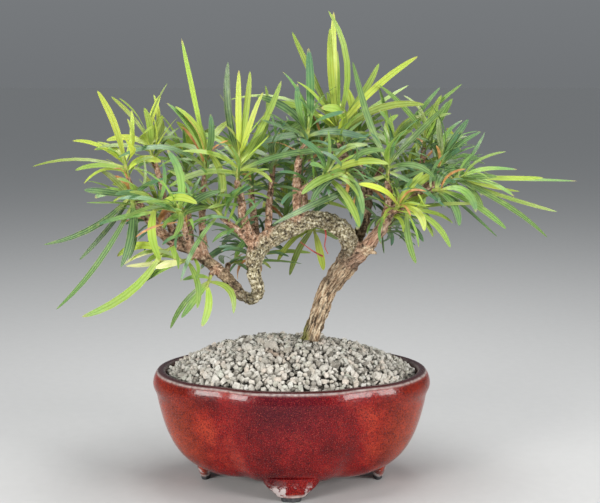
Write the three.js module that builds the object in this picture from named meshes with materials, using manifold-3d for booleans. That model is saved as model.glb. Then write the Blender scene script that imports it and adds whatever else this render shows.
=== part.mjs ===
// A small Buddhist pine (Podocarpus) trained as a bonsai, in a glazed four-lobed pot.
// Millimetres. X runs along the pot's long side, the front looks towards -Y, Z is up.

import * as THREE from "three";
import { LoftGeometry } from "three/addons/geometries/LoftGeometry.js";
import { mergeVertices } from "three/addons/utils/BufferGeometryUtils.js";
import Module from "manifold-3d";

const wasm = await Module();
wasm.setup();

// Driving dimensions of the pot
const potWidth = 254;
const potDepth = 176;
const potHeight = 105;
const bowlBottom = 12;
const floorTop = 21;
const innerDepthShare = 0.66;
const lobeSides = 40;
const creaseAngle = 58;
const creaseSpread = 10;
const creaseDepth = 0.04;

// Feet and drain holes
const footReach = 80;
const footInward = 0.75; // for the front and back feet
const padHeight = 4.5;
const footSides = 10;
const drainReach = 42;
const drainRadius = 8;

// Drain screens: squares of plastic net that keep the grit in
const screenSide = 24;
const screenThickness = 1.2;
const screenHole = 5;
const screenPitch = 7;

// Grit
const gritEdge = 101;
const gritRise = 30;
const gritCrownX = -8;
const gritCell = 7;
const gritColumns = 34;
const gritRows = 24;
const grainLift = 2.8;
const grainShift = 1.8;
const gritRoomTop = 160;

// Clearance between pieces that touch, and between blades of different sprays
const gap = 0.3;
const bladeSpare = 0.55;

// The tree's points are read off a front view, in the plane through the pot's middle. Each is
// moved along its line of sight from the eye to its own depth.
const eye = [7.7, -980, 367];

// Wood
const plainTrunkTop = 135;
const barkRoughness = 0.22;
const limbStep = 8.5;
const twigSides = 4;
const twigStep = 26;
const twigEndLength = 2.5;
const rootHoleSpare = 0.4;

// Blades
const keelDepth = 1.1;
const goldenAngle = 137.5;
const droop = 0.12;
const stemRadius = 1.7;
const stemSides = 5;

// Edges shorter than this are closed up where solids were joined
const tidyLength = 0.3;

const radians = THREE.MathUtils.degToRad;
const point = (numbers) => new THREE.Vector3(...numbers);

// A point read off the front view, moved to its depth.
function sighted([x, y, z, ...rest]) {
  const share = 1 - y / eye[1];
  return [eye[0] + (x - eye[0]) * share, y, eye[2] + (z - eye[2]) * share, ...rest];
}

// A stream of even draws between 0 and 1, the same on every run.
function draws(seed) {
  let state = 90001 * seed + 17;
  const next = () => {
    state = (state * 16807) % 2147483647;
    return state / 2147483647;
  };
  next();
  next();
  return next;
}

// A fixed draw between 0 and 1 for each pair of whole numbers.
function scatter(i, j) {
  const wave = Math.sin(i * 127.1 + j * 311.7) * 43758.5453;
  return wave - Math.floor(wave);
}

// A closed geometry as a solid: shared corners are merged, faces with no area are left out.
function solidFrom(geometry) {
  const bare = new THREE.BufferGeometry();
  bare.setAttribute("position", geometry.attributes.position);
  bare.setIndex(geometry.index);
  const merged = mergeVertices(bare, 1e-4);
  const corners = merged.index.array;
  const kept = [];
  for (let i = 0; i < corners.length; i += 3) {
    const [a, b, c] = corners.subarray(i, i + 3);
    if (a !== b && b !== c && c !== a) kept.push(a, b, c);
  }
  return new wasm.Manifold(
    new wasm.Mesh({
      numProp: 3,
      vertProperties: merged.attributes.position.array,
      triVerts: new Uint32Array(kept),
    }),
  );
}

// The outer shell of a joined solid: sealed hollows are filled and loose scraps dropped.
function outerShell(solid) {
  const shells = solid.decompose();
  return shells.reduce((largest, shell) => (shell.volume() > largest.volume() ? shell : largest));
}

// A solid as a named mesh of its own colour.
function meshFrom(name, solid, look) {
  const made = solid.getMesh();
  const geometry = new THREE.BufferGeometry();
  const corners = [];
  for (let i = 0; i < made.numVert; i += 1) {
    const start = i * made.numProp;
    corners.push(...made.vertProperties.subarray(start, start + 3));
  }
  geometry.setAttribute("position", new THREE.Float32BufferAttribute(corners, 3));
  geometry.setIndex([...made.triVerts]);
  geometry.computeVertexNormals();
  const mesh = new THREE.Mesh(geometry, new THREE.MeshStandardMaterial(look));
  mesh.name = name;
  return mesh;
}

const looks = {
  glaze: { color: 0x7c1218, roughness: 0.12, metalness: 0 },
  net: { color: 0x23262a, roughness: 0.5, metalness: 0 },
  stone: { color: 0xb3aca1, roughness: 0.95, metalness: 0 },
  bark: { color: 0x8f7f66, roughness: 0.9, metalness: 0 },
  oldLeaf: { color: 0x2f6b34, roughness: 0.4, metalness: 0 },
  midLeaf: { color: 0x5f9a35, roughness: 0.4, metalness: 0 },
  newLeaf: { color: 0x9cc843, roughness: 0.4, metalness: 0 },
};

// The pot

// How far the outline draws in at an angle, to make the soft creases between the four lobes.
function lobe(angle) {
  const turn = Math.abs(THREE.MathUtils.radToDeg(Math.atan2(Math.sin(angle), Math.cos(angle))));
  const fromSide = Math.min(turn, 180 - turn);
  const offset = (fromSide - creaseAngle) / creaseSpread;
  return 1 - creaseDepth * Math.exp(-offset * offset);
}

// One ring of the pot: halfWidth and halfDepth are its reach along X and Y.
function potRing(halfWidth, halfDepth, height) {
  const ring = [];
  for (let k = 0; k < lobeSides; k += 1) {
    const angle = (k / lobeSides) * Math.PI * 2;
    const pull = lobe(angle);
    const x = halfWidth * Math.cos(angle) * pull;
    const y = halfDepth * Math.sin(angle) * pull;
    ring.push(new THREE.Vector3(x, y, height));
  }
  return ring;
}

// Outer profile from the bottom's centre to the rim: half width along X, then height.
// A low belt runs under the rim, with a soft groove below it.
const outerProfile = [
  [0, bowlBottom],
  [60, bowlBottom],
  [84, 15],
  [100.5, 25.5],
  [111.2, 40.5],
  [118, 58],
  [122.2, 75],
  [123.1, 84.5],
  [potWidth / 2, potHeight - 12],
  [potWidth / 2 - 0.6, potHeight - 6],
  [potWidth / 2 - 2, potHeight - 0.6],
];

// Inner profile from the rim down to the floor's centre.
const innerProfile = [
  [potWidth / 2 - 6, potHeight],
  [potWidth / 2 - 11.5, potHeight - 1],
  [112.5, 94],
  [110.5, 72],
  [103.5, 50],
  [90, 32],
  [64, floorTop],
  [0, floorTop],
];

function innerHalfDepth(halfWidth) {
  return halfWidth * innerDepthShare;
}

// A foot: an oval block that narrows to a small unglazed pad. Its long side follows the rim.
function footSolid(angle) {
  const rows = [
    [26.5, 8.4, 22.5],
    [23.5, 7.8, 15],
    [15.5, 6.4, 8],
    [12.5, 5.4, padHeight],
    [9.4, 4.6, padHeight - 0.5],
    [8.8, 4.3, 0],
  ];
  const sections = rows.map(([halfLong, halfShort, height]) => {
    const ring = [];
    for (let k = 0; k < footSides; k += 1) {
      const around = (-k / footSides) * Math.PI * 2;
      ring.push(new THREE.Vector3(halfShort * Math.cos(around), halfLong * Math.sin(around), height));
    }
    return ring;
  });
  const geometry = new LoftGeometry(sections, { capStart: true, capEnd: true });
  const inward = Math.abs(Math.cos(angle)) > 0.5 ? 1 : footInward;
  geometry.translate(footReach * inward, 0, 0);
  geometry.rotateZ(angle);
  return solidFrom(geometry);
}

function drainHole(side) {
  const geometry = new THREE.CylinderGeometry(drainRadius, drainRadius, 40, 16);
  geometry.rotateX(Math.PI / 2);
  geometry.translate(side * drainReach, 0, bowlBottom);
  return solidFrom(geometry);
}

function potSolid() {
  const depthShare = potDepth / potWidth;
  const outer = outerProfile.map(([reach, height]) => potRing(reach, reach * depthShare, height));
  const inner = innerProfile.map(([reach, height], row) => {
    const onRim = row === 0 ? potDepth / 2 - 6 : innerHalfDepth(reach);
    return potRing(reach, onRim, height);
  });
  let pot = solidFrom(new LoftGeometry([...outer, ...inner]));
  for (let quarter = 0; quarter < 4; quarter += 1) {
    pot = pot.add(footSolid((quarter * Math.PI) / 2));
  }
  for (const side of [-1, 1]) {
    pot = pot.subtract(drainHole(side));
  }
  return pot;
}

// The drain screens

function boxSolid(size, place) {
  const geometry = new THREE.BoxGeometry(...size);
  geometry.translate(...place);
  return solidFrom(geometry);
}

function screenSolid(side) {
  const x = side * drainReach;
  const z = floorTop + gap + screenThickness / 2;
  const holeSize = [screenHole, screenHole, 3 * screenThickness];
  let screen = boxSolid([screenSide, screenSide, screenThickness], [x, 0, z]);
  for (const column of [-1, 0, 1]) {
    for (const row of [-1, 0, 1]) {
      const hole = boxSolid(holeSize, [x + column * screenPitch, row * screenPitch, z]);
      screen = screen.subtract(hole);
    }
  }
  return screen;
}

// The grit

// Half the pot's inner width where the grit meets the wall.
const [mouthReach] = innerProfile[2];

// Height of the mound at a place, before its grains.
function moundHeight(x, y) {
  const across = (x - gritCrownX) / (mouthReach - gritCrownX * Math.sign(x - gritCrownX));
  const deep = y / innerHalfDepth(mouthReach);
  const out = Math.min(1, Math.hypot(across, deep));
  return gritEdge + gritRise * (1 - out ** 2.5);
}

// A block whose top is raised in angular grains, cut to the inside of the pot.
function gritBlock() {
  const sizeX = gritColumns * gritCell;
  const sizeY = gritRows * gritCell;
  const geometry = new THREE.BoxGeometry(sizeX, sizeY, potHeight, gritColumns, gritRows, 1);
  geometry.translate(0, 0, potHeight / 2);
  const places = geometry.attributes.position;
  for (let n = 0; n < places.count; n += 1) {
    if (places.getZ(n) < potHeight / 2) continue;
    const i = Math.round(places.getX(n) / gritCell + gritColumns / 2);
    const j = Math.round(places.getY(n) / gritCell + gritRows / 2);
    const x = places.getX(n) + (scatter(i, j) - 0.5) * 2 * grainShift;
    const y = places.getY(n) + (scatter(i + 71, j) - 0.5) * 2 * grainShift;
    const lift = (scatter(i, j + 53) - 0.5) * 2 * grainLift;
    places.setXYZ(n, x, y, moundHeight(x, y) + lift);
  }
  return solidFrom(geometry);
}

// The room inside the pot, a gap smaller all round, open upwards.
function potRoom() {
  const wall = innerProfile.slice(2, -1).reverse();
  const rings = [
    potRing(0, 0, floorTop + gap),
    ...wall.map(([reach, height]) => potRing(reach - gap, innerHalfDepth(reach) - gap, height + gap)),
  ];
  rings.push(potRing(mouthReach - gap, innerHalfDepth(mouthReach) - gap, gritRoomTop));
  rings.push(potRing(0, 0, gritRoomTop));
  return solidFrom(new LoftGeometry(rings));
}

// The grit has a plain hole for the foot of the trunk and a pocket over each drain screen.
function gritSolid() {
  const rootHole = limbSolid(trunk.points, {
    sides: trunk.sides,
    step: limbStep,
    swell: rootHoleSpare,
    longer: gap,
  });
  const pocketSide = screenSide + 2 * gap;
  const pocketSize = [pocketSide, pocketSide, 2 * (screenThickness + 2 * gap)];
  let grit = gritBlock().intersect(potRoom()).subtract(rootHole);
  for (const side of [-1, 1]) {
    grit = grit.subtract(boxSolid(pocketSize, [side * drainReach, 0, floorTop]));
  }
  return grit;
}

// The wood

// A limb along hand-placed points, each [x, y, z, radius]. rough is how uneven its bark is,
// swell widens it all over and longer adds to its foot, for the hole that it stands in.
function limbSolid(stations, { sides, step, rough = 0, swell = 0, longer = 0, seed = 1 }) {
  const spots = stations.map(sighted);
  const curve = new THREE.CatmullRomCurve3(
    spots.map(([x, y, z]) => new THREE.Vector3(x, y, z)),
    false,
    "centripetal",
  );
  const pieces = Math.max(2, Math.round(curve.getLength() / step));
  const frames = curve.computeFrenetFrames(pieces, false);
  const draw = draws(seed);
  const sections = [];
  for (let i = 0; i <= pieces; i += 1) {
    const share = curve.getUtoTmapping(i / pieces) * (stations.length - 1);
    const before = Math.min(Math.floor(share), stations.length - 2);
    const radius = THREE.MathUtils.lerp(stations[before][3], stations[before + 1][3], share - before);
    const centre = curve.getPointAt(i / pieces);
    if (i === 0) centre.addScaledVector(frames.tangents[0], -longer);
    const ring = [];
    for (let k = 0; k < sides; k += 1) {
      const angle = (k / sides) * Math.PI * 2;
      const bark = centre.z > plainTrunkTop ? 1 + rough * (draw() - 0.5) : 1;
      const reach = (radius + swell) * bark;
      const spot = centre.clone();
      spot.addScaledVector(frames.normals[i], Math.cos(angle) * reach);
      spot.addScaledVector(frames.binormals[i], Math.sin(angle) * reach);
      ring.push(spot);
    }
    sections.push(ring);
  }
  return solidFrom(new LoftGeometry(sections, { capStart: true, capEnd: true }));
}

// The trunk leans right to a fork. The arch runs left from it, drops at the knot, turns at the
// knee and rises to the left end. The crown limb stands behind, the right limb goes right.
const trunk = {
  points: [
    [10, 2, 96, 9.4],
    [13.5, 1, 118, 8.9],
    [17.2, 0.5, 133, 8.4],
    [23.3, 0, 151, 8.2],
    [27.6, 0, 163.5, 8.6],
    [32, 0, 176, 8.9],
    [40.5, 0, 188.5, 9.8],
    [49.6, 1, 201, 11.2],
    [55, 1, 212, 9.5],
  ],
  sides: 10,
};

const limbs = [
  {
    points: [
      [51, 0, 205, 9.5],
      [53, -2, 215, 9.2],
      [50, -5, 226.5, 8.8],
      [42.5, -8, 235, 8.4],
      [31, -10, 240, 8.4],
      [18, -10, 241, 7.8],
      [5, -8, 236.5, 8.4],
      [-13, -6, 227, 8.6],
      [-27, -6, 219, 9.6],
      [-33, -6, 208, 8.6],
      [-34.5, -6, 197, 6.8],
      [-33, -6, 187, 6.2],
      [-30, -6, 178, 6.2],
      [-32, -6.5, 171.5, 6],
      [-39, -7, 169, 5.6],
      [-49.5, -8.5, 176.5, 5.8],
      [-60, -9, 189.5, 5.8],
      [-71, -8.5, 199.5, 5.6],
      [-79, -8, 206, 5.8],
      [-91, -7, 215, 5.8],
      [-104, -7, 219, 5.2],
      [-114, -8, 226, 4.6],
      [-120, -8, 232, 3.8],
    ],
    sides: 8,
  },
  {
    points: [
      [51, 2, 206, 8],
      [62, 11, 231, 5.8],
      [68, 16, 256, 5],
      [63, 15, 279, 4.2],
      [52, 10, 296, 3.4],
      [48, 7, 303, 2.6],
    ],
    sides: 7,
  },
  {
    points: [
      [51, 0, 204, 9.4],
      [62, -3, 210.5, 7.6],
      [73, -6, 223, 6],
      [79, -8, 231, 5.5],
      [84, -10, 239.5, 5.2],
      [87, -10, 248, 4.6],
    ],
    sides: 8,
  },
  {
    points: [
      [65, -5, 215, 3.6],
      [73, -9, 212, 2.4],
      [77, -11, 210.5, 1.2],
    ],
    sides: 6,
  },
];

// The sprays

// Each spray is a leafy stem at the end of its twig. twig: hand-placed points of its wood.
// thick: the twig's radius at both ends. stem: how the green stem runs on from there.
// leaves: tip from root along X, Y and Z, how far the middle bows up (on an upright
// blade, to the right), and the width. fill: blades that the rule below adds between them,
// and length: how long these are.
// face: 1 where the spray is seen from the front, -1 from the back.
const sprays = {
  left_1: {
    twig: [[-117, -8, 229], [-131, -14, 243], [-140, -18, 254]],
    thick: [3.4, 2.3],
    stem: [-6, -3, 10],
    leaves: [
      [-73, -30, -98, -5, 5.5],
      [-12, -25, -60, 3, 6.5],
      [-4, -14, -54, 4, 6],
      [-48, 10, -56, -2, 4.5],
      [-79, -22, -43, -8, 6.5],
      [-40, -20, 5, 2, 6.5],
      [-25, 18, 22, 2, 7],
    ],
    fill: 3,
    length: 36,
    face: 1,
    look: "midLeaf",
  },
  left_2: {
    twig: [[-127, -12, 239], [-139, -12, 262], [-146, -14, 280]],
    thick: [3, 2.2],
    stem: [-2, -2, 14],
    leaves: [
      [-39, 20, -10, 8, 4],
      [-46, -16, 0, 4, 4.5],
      [-84, -8, 1, 8, 4],
      [-47, 25, 22, 7, 4],
      [-25, 12, 19, 5, 4.5],
      [-23, -10, 62, 2, 6],
    ],
    fill: 3,
    length: 34,
    face: 1,
    look: "newLeaf",
  },
  left_3: {
    twig: [[-114, -9, 227], [-121, -19, 237], [-123, -26, 246]],
    thick: [3, 2.2],
    stem: [2, -7, 8],
    leaves: [
      [-53, -5, -12, 2, 6],
      [4, -14, -48, -6, 8],
      [-24, -26, 12, 4, 6],
    ],
    fill: 3,
    length: 44,
    face: 1,
    look: "midLeaf",
  },
  left_4: {
    twig: [[-102, -8, 218], [-109, -17, 215]],
    thick: [2.8, 2.2],
    stem: [-7, -5, -3],
    leaves: [
      [-41, 10, -14, 3, 5],
      [-75, -14, -60, -8, 7.5],
    ],
    fill: 2,
    length: 34,
    face: 1,
    look: "newLeaf",
  },
  left_5: {
    twig: [[-84, -8, 211], [-91, -16, 206]],
    thick: [2.8, 2.2],
    stem: [-8, -4, -3],
    leaves: [
      [-41, -4, -21, 3, 6.5],
      [-27, -16, -7, 0, 6.5],
      [-51, -6, -4, 1, 6],
    ],
    fill: 2,
    length: 36,
    face: 1,
    look: "newLeaf",
  },
  left_6: {
    twig: [[-66, -9, 197], [-73, -16, 190]],
    thick: [2.8, 2.2],
    stem: [-3, -4, -8],
    leaves: [
      [-25, -12, -2, 2, 5],
      [-36, -2, -45, 4, 5],
      [-25, -14, -33, 2, 6.5],
      [-6, -18, -39, 3, 7],
    ],
    fill: 1,
    length: 32,
    face: 1,
    look: "midLeaf",
  },
  left_7: {
    twig: [[-60, -8, 190], [-58, 5, 196], [-56, 12, 201]],
    thick: [2.8, 2.2],
    stem: [7, 6, 4],
    leaves: [
      [64, 2, -1, 3, 5.5],
      [67, 12, 6, 3, 5.5],
    ],
    fill: 4,
    length: 38,
    face: -1,
    look: "midLeaf",
  },
  left_8: {
    twig: [[-79, -8, 208], [-80, -6, 240], [-79, -4, 268], [-77, -2, 284]],
    thick: [3.3, 2.3],
    stem: [1, -1, 15],
    leaves: [
      [-78, -24, 9, 14, 6.5],
      [5, -8, 44, 2, 6],
      [-34, -10, 50, 6, 7],
      [-20, 6, 102, -1, 4.5],
    ],
    fill: 5,
    length: 46,
    face: 1,
    look: "midLeaf",
  },
  left_9: {
    twig: [[-105, -6, 219], [-112, 4, 250], [-118, 6, 280], [-124, 4, 299]],
    thick: [3, 2.2],
    stem: [-2, 0, 12],
    leaves: [
      [-47, -14, 4, 4, 5.5],
      [-5, -14, 36, 2, 6],
      [12, -4, 26, 0, 6],
      [11, 10, 42, -3, 5.5],
    ],
    fill: 4,
    length: 38,
    face: 1,
    look: "newLeaf",
  },
  left_10: {
    twig: [[-96, -6, 217], [-104, 18, 232], [-116, 40, 246]],
    thick: [2.8, 2.2],
    stem: [-6, 8, 10],
    leaves: [],
    fill: 8,
    length: 46,
    face: -1,
    look: "midLeaf",
  },
  left_11: {
    twig: [[-90, -6, 216], [-92, 16, 244], [-94, 30, 268], [-95, 40, 286]],
    thick: [2.8, 2.2],
    stem: [-2, 6, 12],
    leaves: [],
    fill: 8,
    length: 44,
    face: -1,
    look: "newLeaf",
  },
  left_12: {
    twig: [[-88, -8, 214], [-95, -24, 229], [-98, -38, 243]],
    thick: [2.8, 2.2],
    stem: [-3, -8, 10],
    leaves: [[-58, -16, 14, 6, 6]],
    fill: 5,
    length: 48,
    face: 1,
    look: "midLeaf",
  },
  knot_1: {
    twig: [[-35, -8, 222], [-43, -11, 243], [-45, -12, 258], [-48, -12, 277]],
    thick: [4, 2.8],
    stem: [2, 0, 22],
    leaves: [
      [-62, -18, -12, 6, 7],
      [30, -28, -10, 5, 6],
      [-50, -20, 16, 5, 6],
      [24, 12, 72, -12, 4.5],
      [38, -4, 74, -4, 6],
      [22, -14, 62, 3, 5],
      [-9, 8, 86, -5, 7],
      [10, -2, 76, 2, 5.5],
      [0, -10, 75, 0, 6],
    ],
    fill: 3,
    length: 48,
    face: 1,
    look: "newLeaf",
  },
  knot_2: {
    twig: [[-36, -8, 220], [-51, -14, 234], [-63, -17, 244]],
    thick: [3.2, 2.2],
    stem: [-6, -4, 9],
    leaves: [
      [-36, -8, -62, 3, 4.5],
      [-48, -22, -18, 5, 6],
    ],
    fill: 4,
    length: 46,
    face: 1,
    look: "midLeaf",
  },
  knot_3: {
    twig: [[-31, -4, 222], [-34, 24, 246], [-36, 44, 266], [-36, 60, 280]],
    thick: [3.4, 2.3],
    stem: [0, 6, 12],
    leaves: [],
    fill: 8,
    length: 52,
    face: -1,
    look: "midLeaf",
  },
  knot_4: {
    twig: [[-35, -5, 204], [-36, 14, 208], [-38, 26, 214]],
    thick: [2.8, 2.2],
    stem: [-4, 9, 6],
    leaves: [],
    fill: 7,
    length: 42,
    face: -1,
    look: "oldLeaf",
  },
  knot_5: {
    twig: [[-21, -6, 224], [-20, 2, 252], [-18, 6, 274], [-16, 8, 290]],
    thick: [3.2, 2.2],
    stem: [1, 2, 12],
    leaves: [],
    fill: 7,
    length: 52,
    face: 1,
    look: "oldLeaf",
  },
  arch_1: {
    twig: [[6, -8, 240], [5, -9, 268], [7, -9, 294], [13, -8, 311]],
    thick: [4, 2.4],
    stem: [3, 0, 14],
    leaves: [
      [-40, -10, 16, 2, 6],
      [-9, -16, 44, -4, 6],
      [-23, 8, 51, 5, 4],
      [-1, 6, 68, 1, 7.5],
    ],
    fill: 4,
    length: 50,
    face: 1,
    look: "oldLeaf",
  },
  arch_2: {
    twig: [[5, -9, 264], [17, -13, 273], [27, -17, 279]],
    thick: [2.8, 2.2],
    stem: [6, -7, 4],
    leaves: [],
    fill: 6,
    length: 50,
    face: 1,
    look: "midLeaf",
  },
  arch_3: {
    twig: [[14, -8, 240], [18, 9, 243], [20, 18, 236]],
    thick: [2.8, 2.2],
    stem: [1, 5, -7],
    leaves: [
      [-22, 4, -44, 3, 6],
      [8, 4, -34, 2, 7],
    ],
    fill: 3,
    length: 34,
    face: -1,
    look: "newLeaf",
  },
  arch_4: {
    twig: [[12, -8, 241], [12, 24, 262], [8, 50, 282]],
    thick: [3.2, 2.2],
    stem: [0, 8, 10],
    leaves: [],
    fill: 8,
    length: 54,
    face: -1,
    look: "midLeaf",
  },
  arch_5: {
    twig: [[-4, -6, 233], [-5, 26, 240], [-5, 46, 248]],
    thick: [2.8, 2.2],
    stem: [0, 9, 5],
    leaves: [],
    fill: 7,
    length: 48,
    face: -1,
    look: "newLeaf",
  },
  crown_1: {
    twig: [[49, 8, 300], [43, 4, 311]],
    thick: [2.9, 2.6],
    stem: [-3, -2, 18],
    leaves: [
      [-91, -24, -16, 8, 8],
      [-16, -24, 24, 12, 9],
      [76, -14, 26, 9, 7],
      [-64, -14, 26, 9, 6],
      [-97, -4, 28, 16, 4.5],
      [62, 16, 40, 2, 4.5],
      [70, 2, 64, 5, 6],
      [36, 10, 57, -4, 6.5],
      [-36, -10, 40, 4, 5],
      [-40, 6, 82, 0, 5.5],
      [0, -22, 65, 1, 3.5],
      [-8, -14, 98, 13, 5.5],
      [-3, 10, 96, -1, 7.5],
      [-6, -4, 81, -2, 6],
    ],
    fill: 2,
    length: 44,
    face: 1,
    look: "newLeaf",
  },
  crown_2: {
    twig: [[67, 16, 262], [79, 20, 284], [88, 20, 301]],
    thick: [3.2, 2.3],
    stem: [2, 0, 11],
    leaves: [
      [62, -6, 58, 1, 4],
      [42, 6, 51, 1, 5],
      [-13, -12, 47, 0, 6],
    ],
    fill: 6,
    length: 44,
    face: 1,
    look: "midLeaf",
  },
  crown_3: {
    twig: [[62, 15, 280], [60, 38, 296], [57, 56, 308]],
    thick: [2.8, 2.2],
    stem: [0, 8, 10],
    leaves: [],
    fill: 8,
    length: 48,
    face: -1,
    look: "newLeaf",
  },
  crown_4: {
    twig: [[57, 12, 289], [52, -6, 289], [49, -17, 284]],
    thick: [2.8, 2.2],
    stem: [0, -9, 0],
    leaves: [
      [10, -12, -52, 5, 9],
      [-40, -20, -20, 5, 7],
    ],
    fill: 3,
    length: 46,
    face: 1,
    look: "oldLeaf",
  },
  crown_5: {
    twig: [[67, 15, 249], [66, 38, 258], [64, 60, 266]],
    thick: [2.8, 2.2],
    stem: [0, 9, 6],
    leaves: [],
    fill: 8,
    length: 54,
    face: -1,
    look: "midLeaf",
  },
  crown_6: {
    twig: [[53, 10, 295], [36, 18, 300], [24, 26, 306]],
    thick: [2.6, 2.2],
    stem: [-6, 6, 8],
    leaves: [],
    fill: 7,
    length: 48,
    face: -1,
    look: "midLeaf",
  },
  right_1: {
    twig: [[86, -10, 245], [88, -12, 260], [86, -14, 277]],
    thick: [4, 2.7],
    stem: [0, 0, 16],
    leaves: [
      [-103, -26, -44, 3, 7.5],
      [53, -26, -32, 3, 6],
      [42, -16, -8, 8, 6],
      [50, -16, 52, 2, 6.5],
      [-32, -6, 88, -3, 8],
    ],
    fill: 3,
    length: 48,
    face: 1,
    look: "oldLeaf",
  },
  right_2: {
    twig: [[86, -10, 245], [95, -16, 250], [102, -22, 250]],
    thick: [3.4, 2.3],
    stem: [7, -7, 1],
    leaves: [
      [9, -5, -49, -4, 6],
      [22, -13, -25, 3, 5.5],
      [36, -18, -35, 4, 5.5],
      [36, -4, -13, 3, 5],
    ],
    fill: 2,
    length: 36,
    face: 1,
    look: "midLeaf",
  },
  right_3: {
    twig: [[86, -10, 246], [100, -8, 263], [117, -4, 277], [131, -7, 288]],
    thick: [4, 2.3],
    stem: [3, 0, 11],
    leaves: [
      [19, -20, 14, 0, 6],
      [36, -8, 27, 2, 5.5],
      [24, -16, 36, 2, 6.5],
      [18, 6, 33, 7, 4],
      [-3, 4, 36, 0, 6],
    ],
    fill: 4,
    length: 38,
    face: 1,
    look: "oldLeaf",
  },
  right_4: {
    twig: [[100, -8, 263], [116, -11, 269], [130, -13, 274], [142, -14, 277]],
    thick: [3.2, 2.2],
    stem: [11, -1, 2],
    leaves: [
      [27, 8, 42, -3, 3.5],
      [18, -16, -10, 2, 7.5],
      [37, -18, 2, 2, 6],
      [83, -16, -53, 4, 7.5],
      [51, -24, -16, 6, 4],
      [52, 14, 8, 4, 5],
      [88, 18, -30, -3, 4],
      [53, 4, -12, -1, 4.5],
      [73, -10, 0, 1, 4.5],
      [102, 6, -3, -1, 4],
    ],
    fill: 1,
    length: 36,
    face: 1,
    look: "midLeaf",
  },
  right_5: {
    twig: [[101, -8, 263], [114, -19, 266], [127, -27, 268]],
    thick: [2.8, 2.2],
    stem: [7, -6, 1],
    leaves: [
      [22, -12, -33, 7, 6.5],
      [55, 0, -43, 2, 4.5],
      [61, -14, -36, 3, 6],
      [43, -8, -24, 4, 6],
    ],
    fill: 3,
    length: 36,
    face: 1,
    look: "oldLeaf",
  },
  right_6: {
    twig: [[84, -9, 243], [90, -20, 247], [93, -27, 251]],
    thick: [2.8, 2.2],
    stem: [3, -8, 4],
    leaves: [[24, -10, 32, 2, 6]],
    fill: 3,
    length: 42,
    face: 1,
    look: "newLeaf",
  },
  right_7: {
    twig: [[112, -5, 273], [116, 3, 290], [118, 5, 306]],
    thick: [2.8, 2.2],
    stem: [1, 1, 13],
    leaves: [
      [24, -10, 40, 0, 6],
      [14, 8, 38, 2, 5],
      [-42, -6, 42, 2, 7.5],
    ],
    fill: 4,
    length: 36,
    face: 1,
    look: "midLeaf",
  },
  right_8: {
    twig: [[80, -7, 236], [90, 16, 252], [104, 38, 268]],
    thick: [3.4, 2.3],
    stem: [5, 8, 8],
    leaves: [],
    fill: 8,
    length: 46,
    face: -1,
    look: "newLeaf",
  },
  right_9: {
    twig: [[108, -7, 269], [121, 18, 276], [134, 44, 284]],
    thick: [2.8, 2.2],
    stem: [5, 9, 6],
    leaves: [],
    fill: 8,
    length: 36,
    face: -1,
    look: "midLeaf",
  },
  right_10: {
    twig: [[76, -6, 229], [84, 14, 232], [92, 28, 240]],
    thick: [2.8, 2.2],
    stem: [4, 9, 4],
    leaves: [],
    fill: 7,
    length: 33,
    face: -1,
    look: "oldLeaf",
  },
};

// A blade's stations from root to tip: place along it, share of its width there.
const longStations = [[0, 0.16], [0.2, 0.6], [0.5, 1], [0.8, 0.72], [1, 0]];
const shortStations = [[0, 0.16], [0.35, 0.92], [0.75, 0.8], [1, 0]];

// The middle of a blade's path is pushed square to its run: up, or to the right if it is upright.
function bowed(leaf) {
  const { x, z } = leaf.reach;
  const upright = Math.abs(x) <= 0.3 * Math.abs(z);
  const side = upright ? -Math.sign(z) : Math.sign(x);
  const push = new THREE.Vector3(-z, 0, x).multiplyScalar(side).normalize();
  return leaf.root.clone().addScaledVector(leaf.reach, 0.5).addScaledVector(push, 2 * leaf.bow);
}

// One blade with three-sided sections: its two edges and a keel below. spare swells it.
function bladeSolid(leaf, spare = 0) {
  const path = new THREE.QuadraticBezierCurve3(
    leaf.root,
    bowed(leaf),
    leaf.root.clone().add(leaf.reach),
  );
  const sections = leaf.stations.map(([along, share]) => {
    const centre = path.getPoint(along);
    const run = path.getTangent(along);
    const face = leaf.facing.clone().applyAxisAngle(run, leaf.twist * along);
    face.addScaledVector(run, -run.dot(face)).normalize();
    const across = face.clone().cross(run);
    const half = (share * leaf.width) / 2 + spare;
    const top = centre.clone().addScaledVector(face, spare);
    return [
      top.clone().addScaledVector(across, half),
      top.clone().addScaledVector(across, -half),
      centre.clone().addScaledVector(face, -keelDepth * Math.sqrt(share) - spare),
    ];
  });
  return solidFrom(new LoftGeometry(sections, { capStart: true, capEnd: spare > 0 }));
}

// The green stem with a pointed bud at its top.
function stemSolid(base, top) {
  const run = top.clone().sub(base).normalize();
  const side = new THREE.Vector3(0, 0, 1).cross(run);
  if (side.length() < 0.2) side.set(1, 0, 0);
  side.addScaledVector(run, -run.dot(side)).normalize();
  const other = run.clone().cross(side);
  const rows = [[0, stemRadius], [1, stemRadius * 0.85], [1.3, 0]];
  const sections = rows.map(([along, radius]) => {
    const ring = [];
    for (let k = 0; k < stemSides; k += 1) {
      const angle = (k / stemSides) * Math.PI * 2;
      const spot = base.clone().lerp(top, along);
      spot.addScaledVector(side, Math.cos(angle) * radius);
      spot.addScaledVector(other, Math.sin(angle) * radius);
      ring.push(spot);
    }
    return ring;
  });
  return solidFrom(new LoftGeometry(sections, { capStart: true }));
}

// Where a spray's stem starts and ends: a gap beyond the end of its twig.
function stemEnds(spray) {
  const end = point(sighted(spray.twig.at(-1)));
  const run = point(spray.stem).normalize();
  const base = end.clone().addScaledVector(run, gap);
  return [base, base.clone().add(point(spray.stem))];
}

// From a root to a tip that is read off the front view, as seen from where the root was read.
function reachTo(root, spray, along, [x, y, z]) {
  const read = point(spray.twig.at(-1)).addScaledVector(point(spray.stem), along);
  return point(sighted([read.x + x, read.y + y, read.z + z])).sub(root);
}

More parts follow.
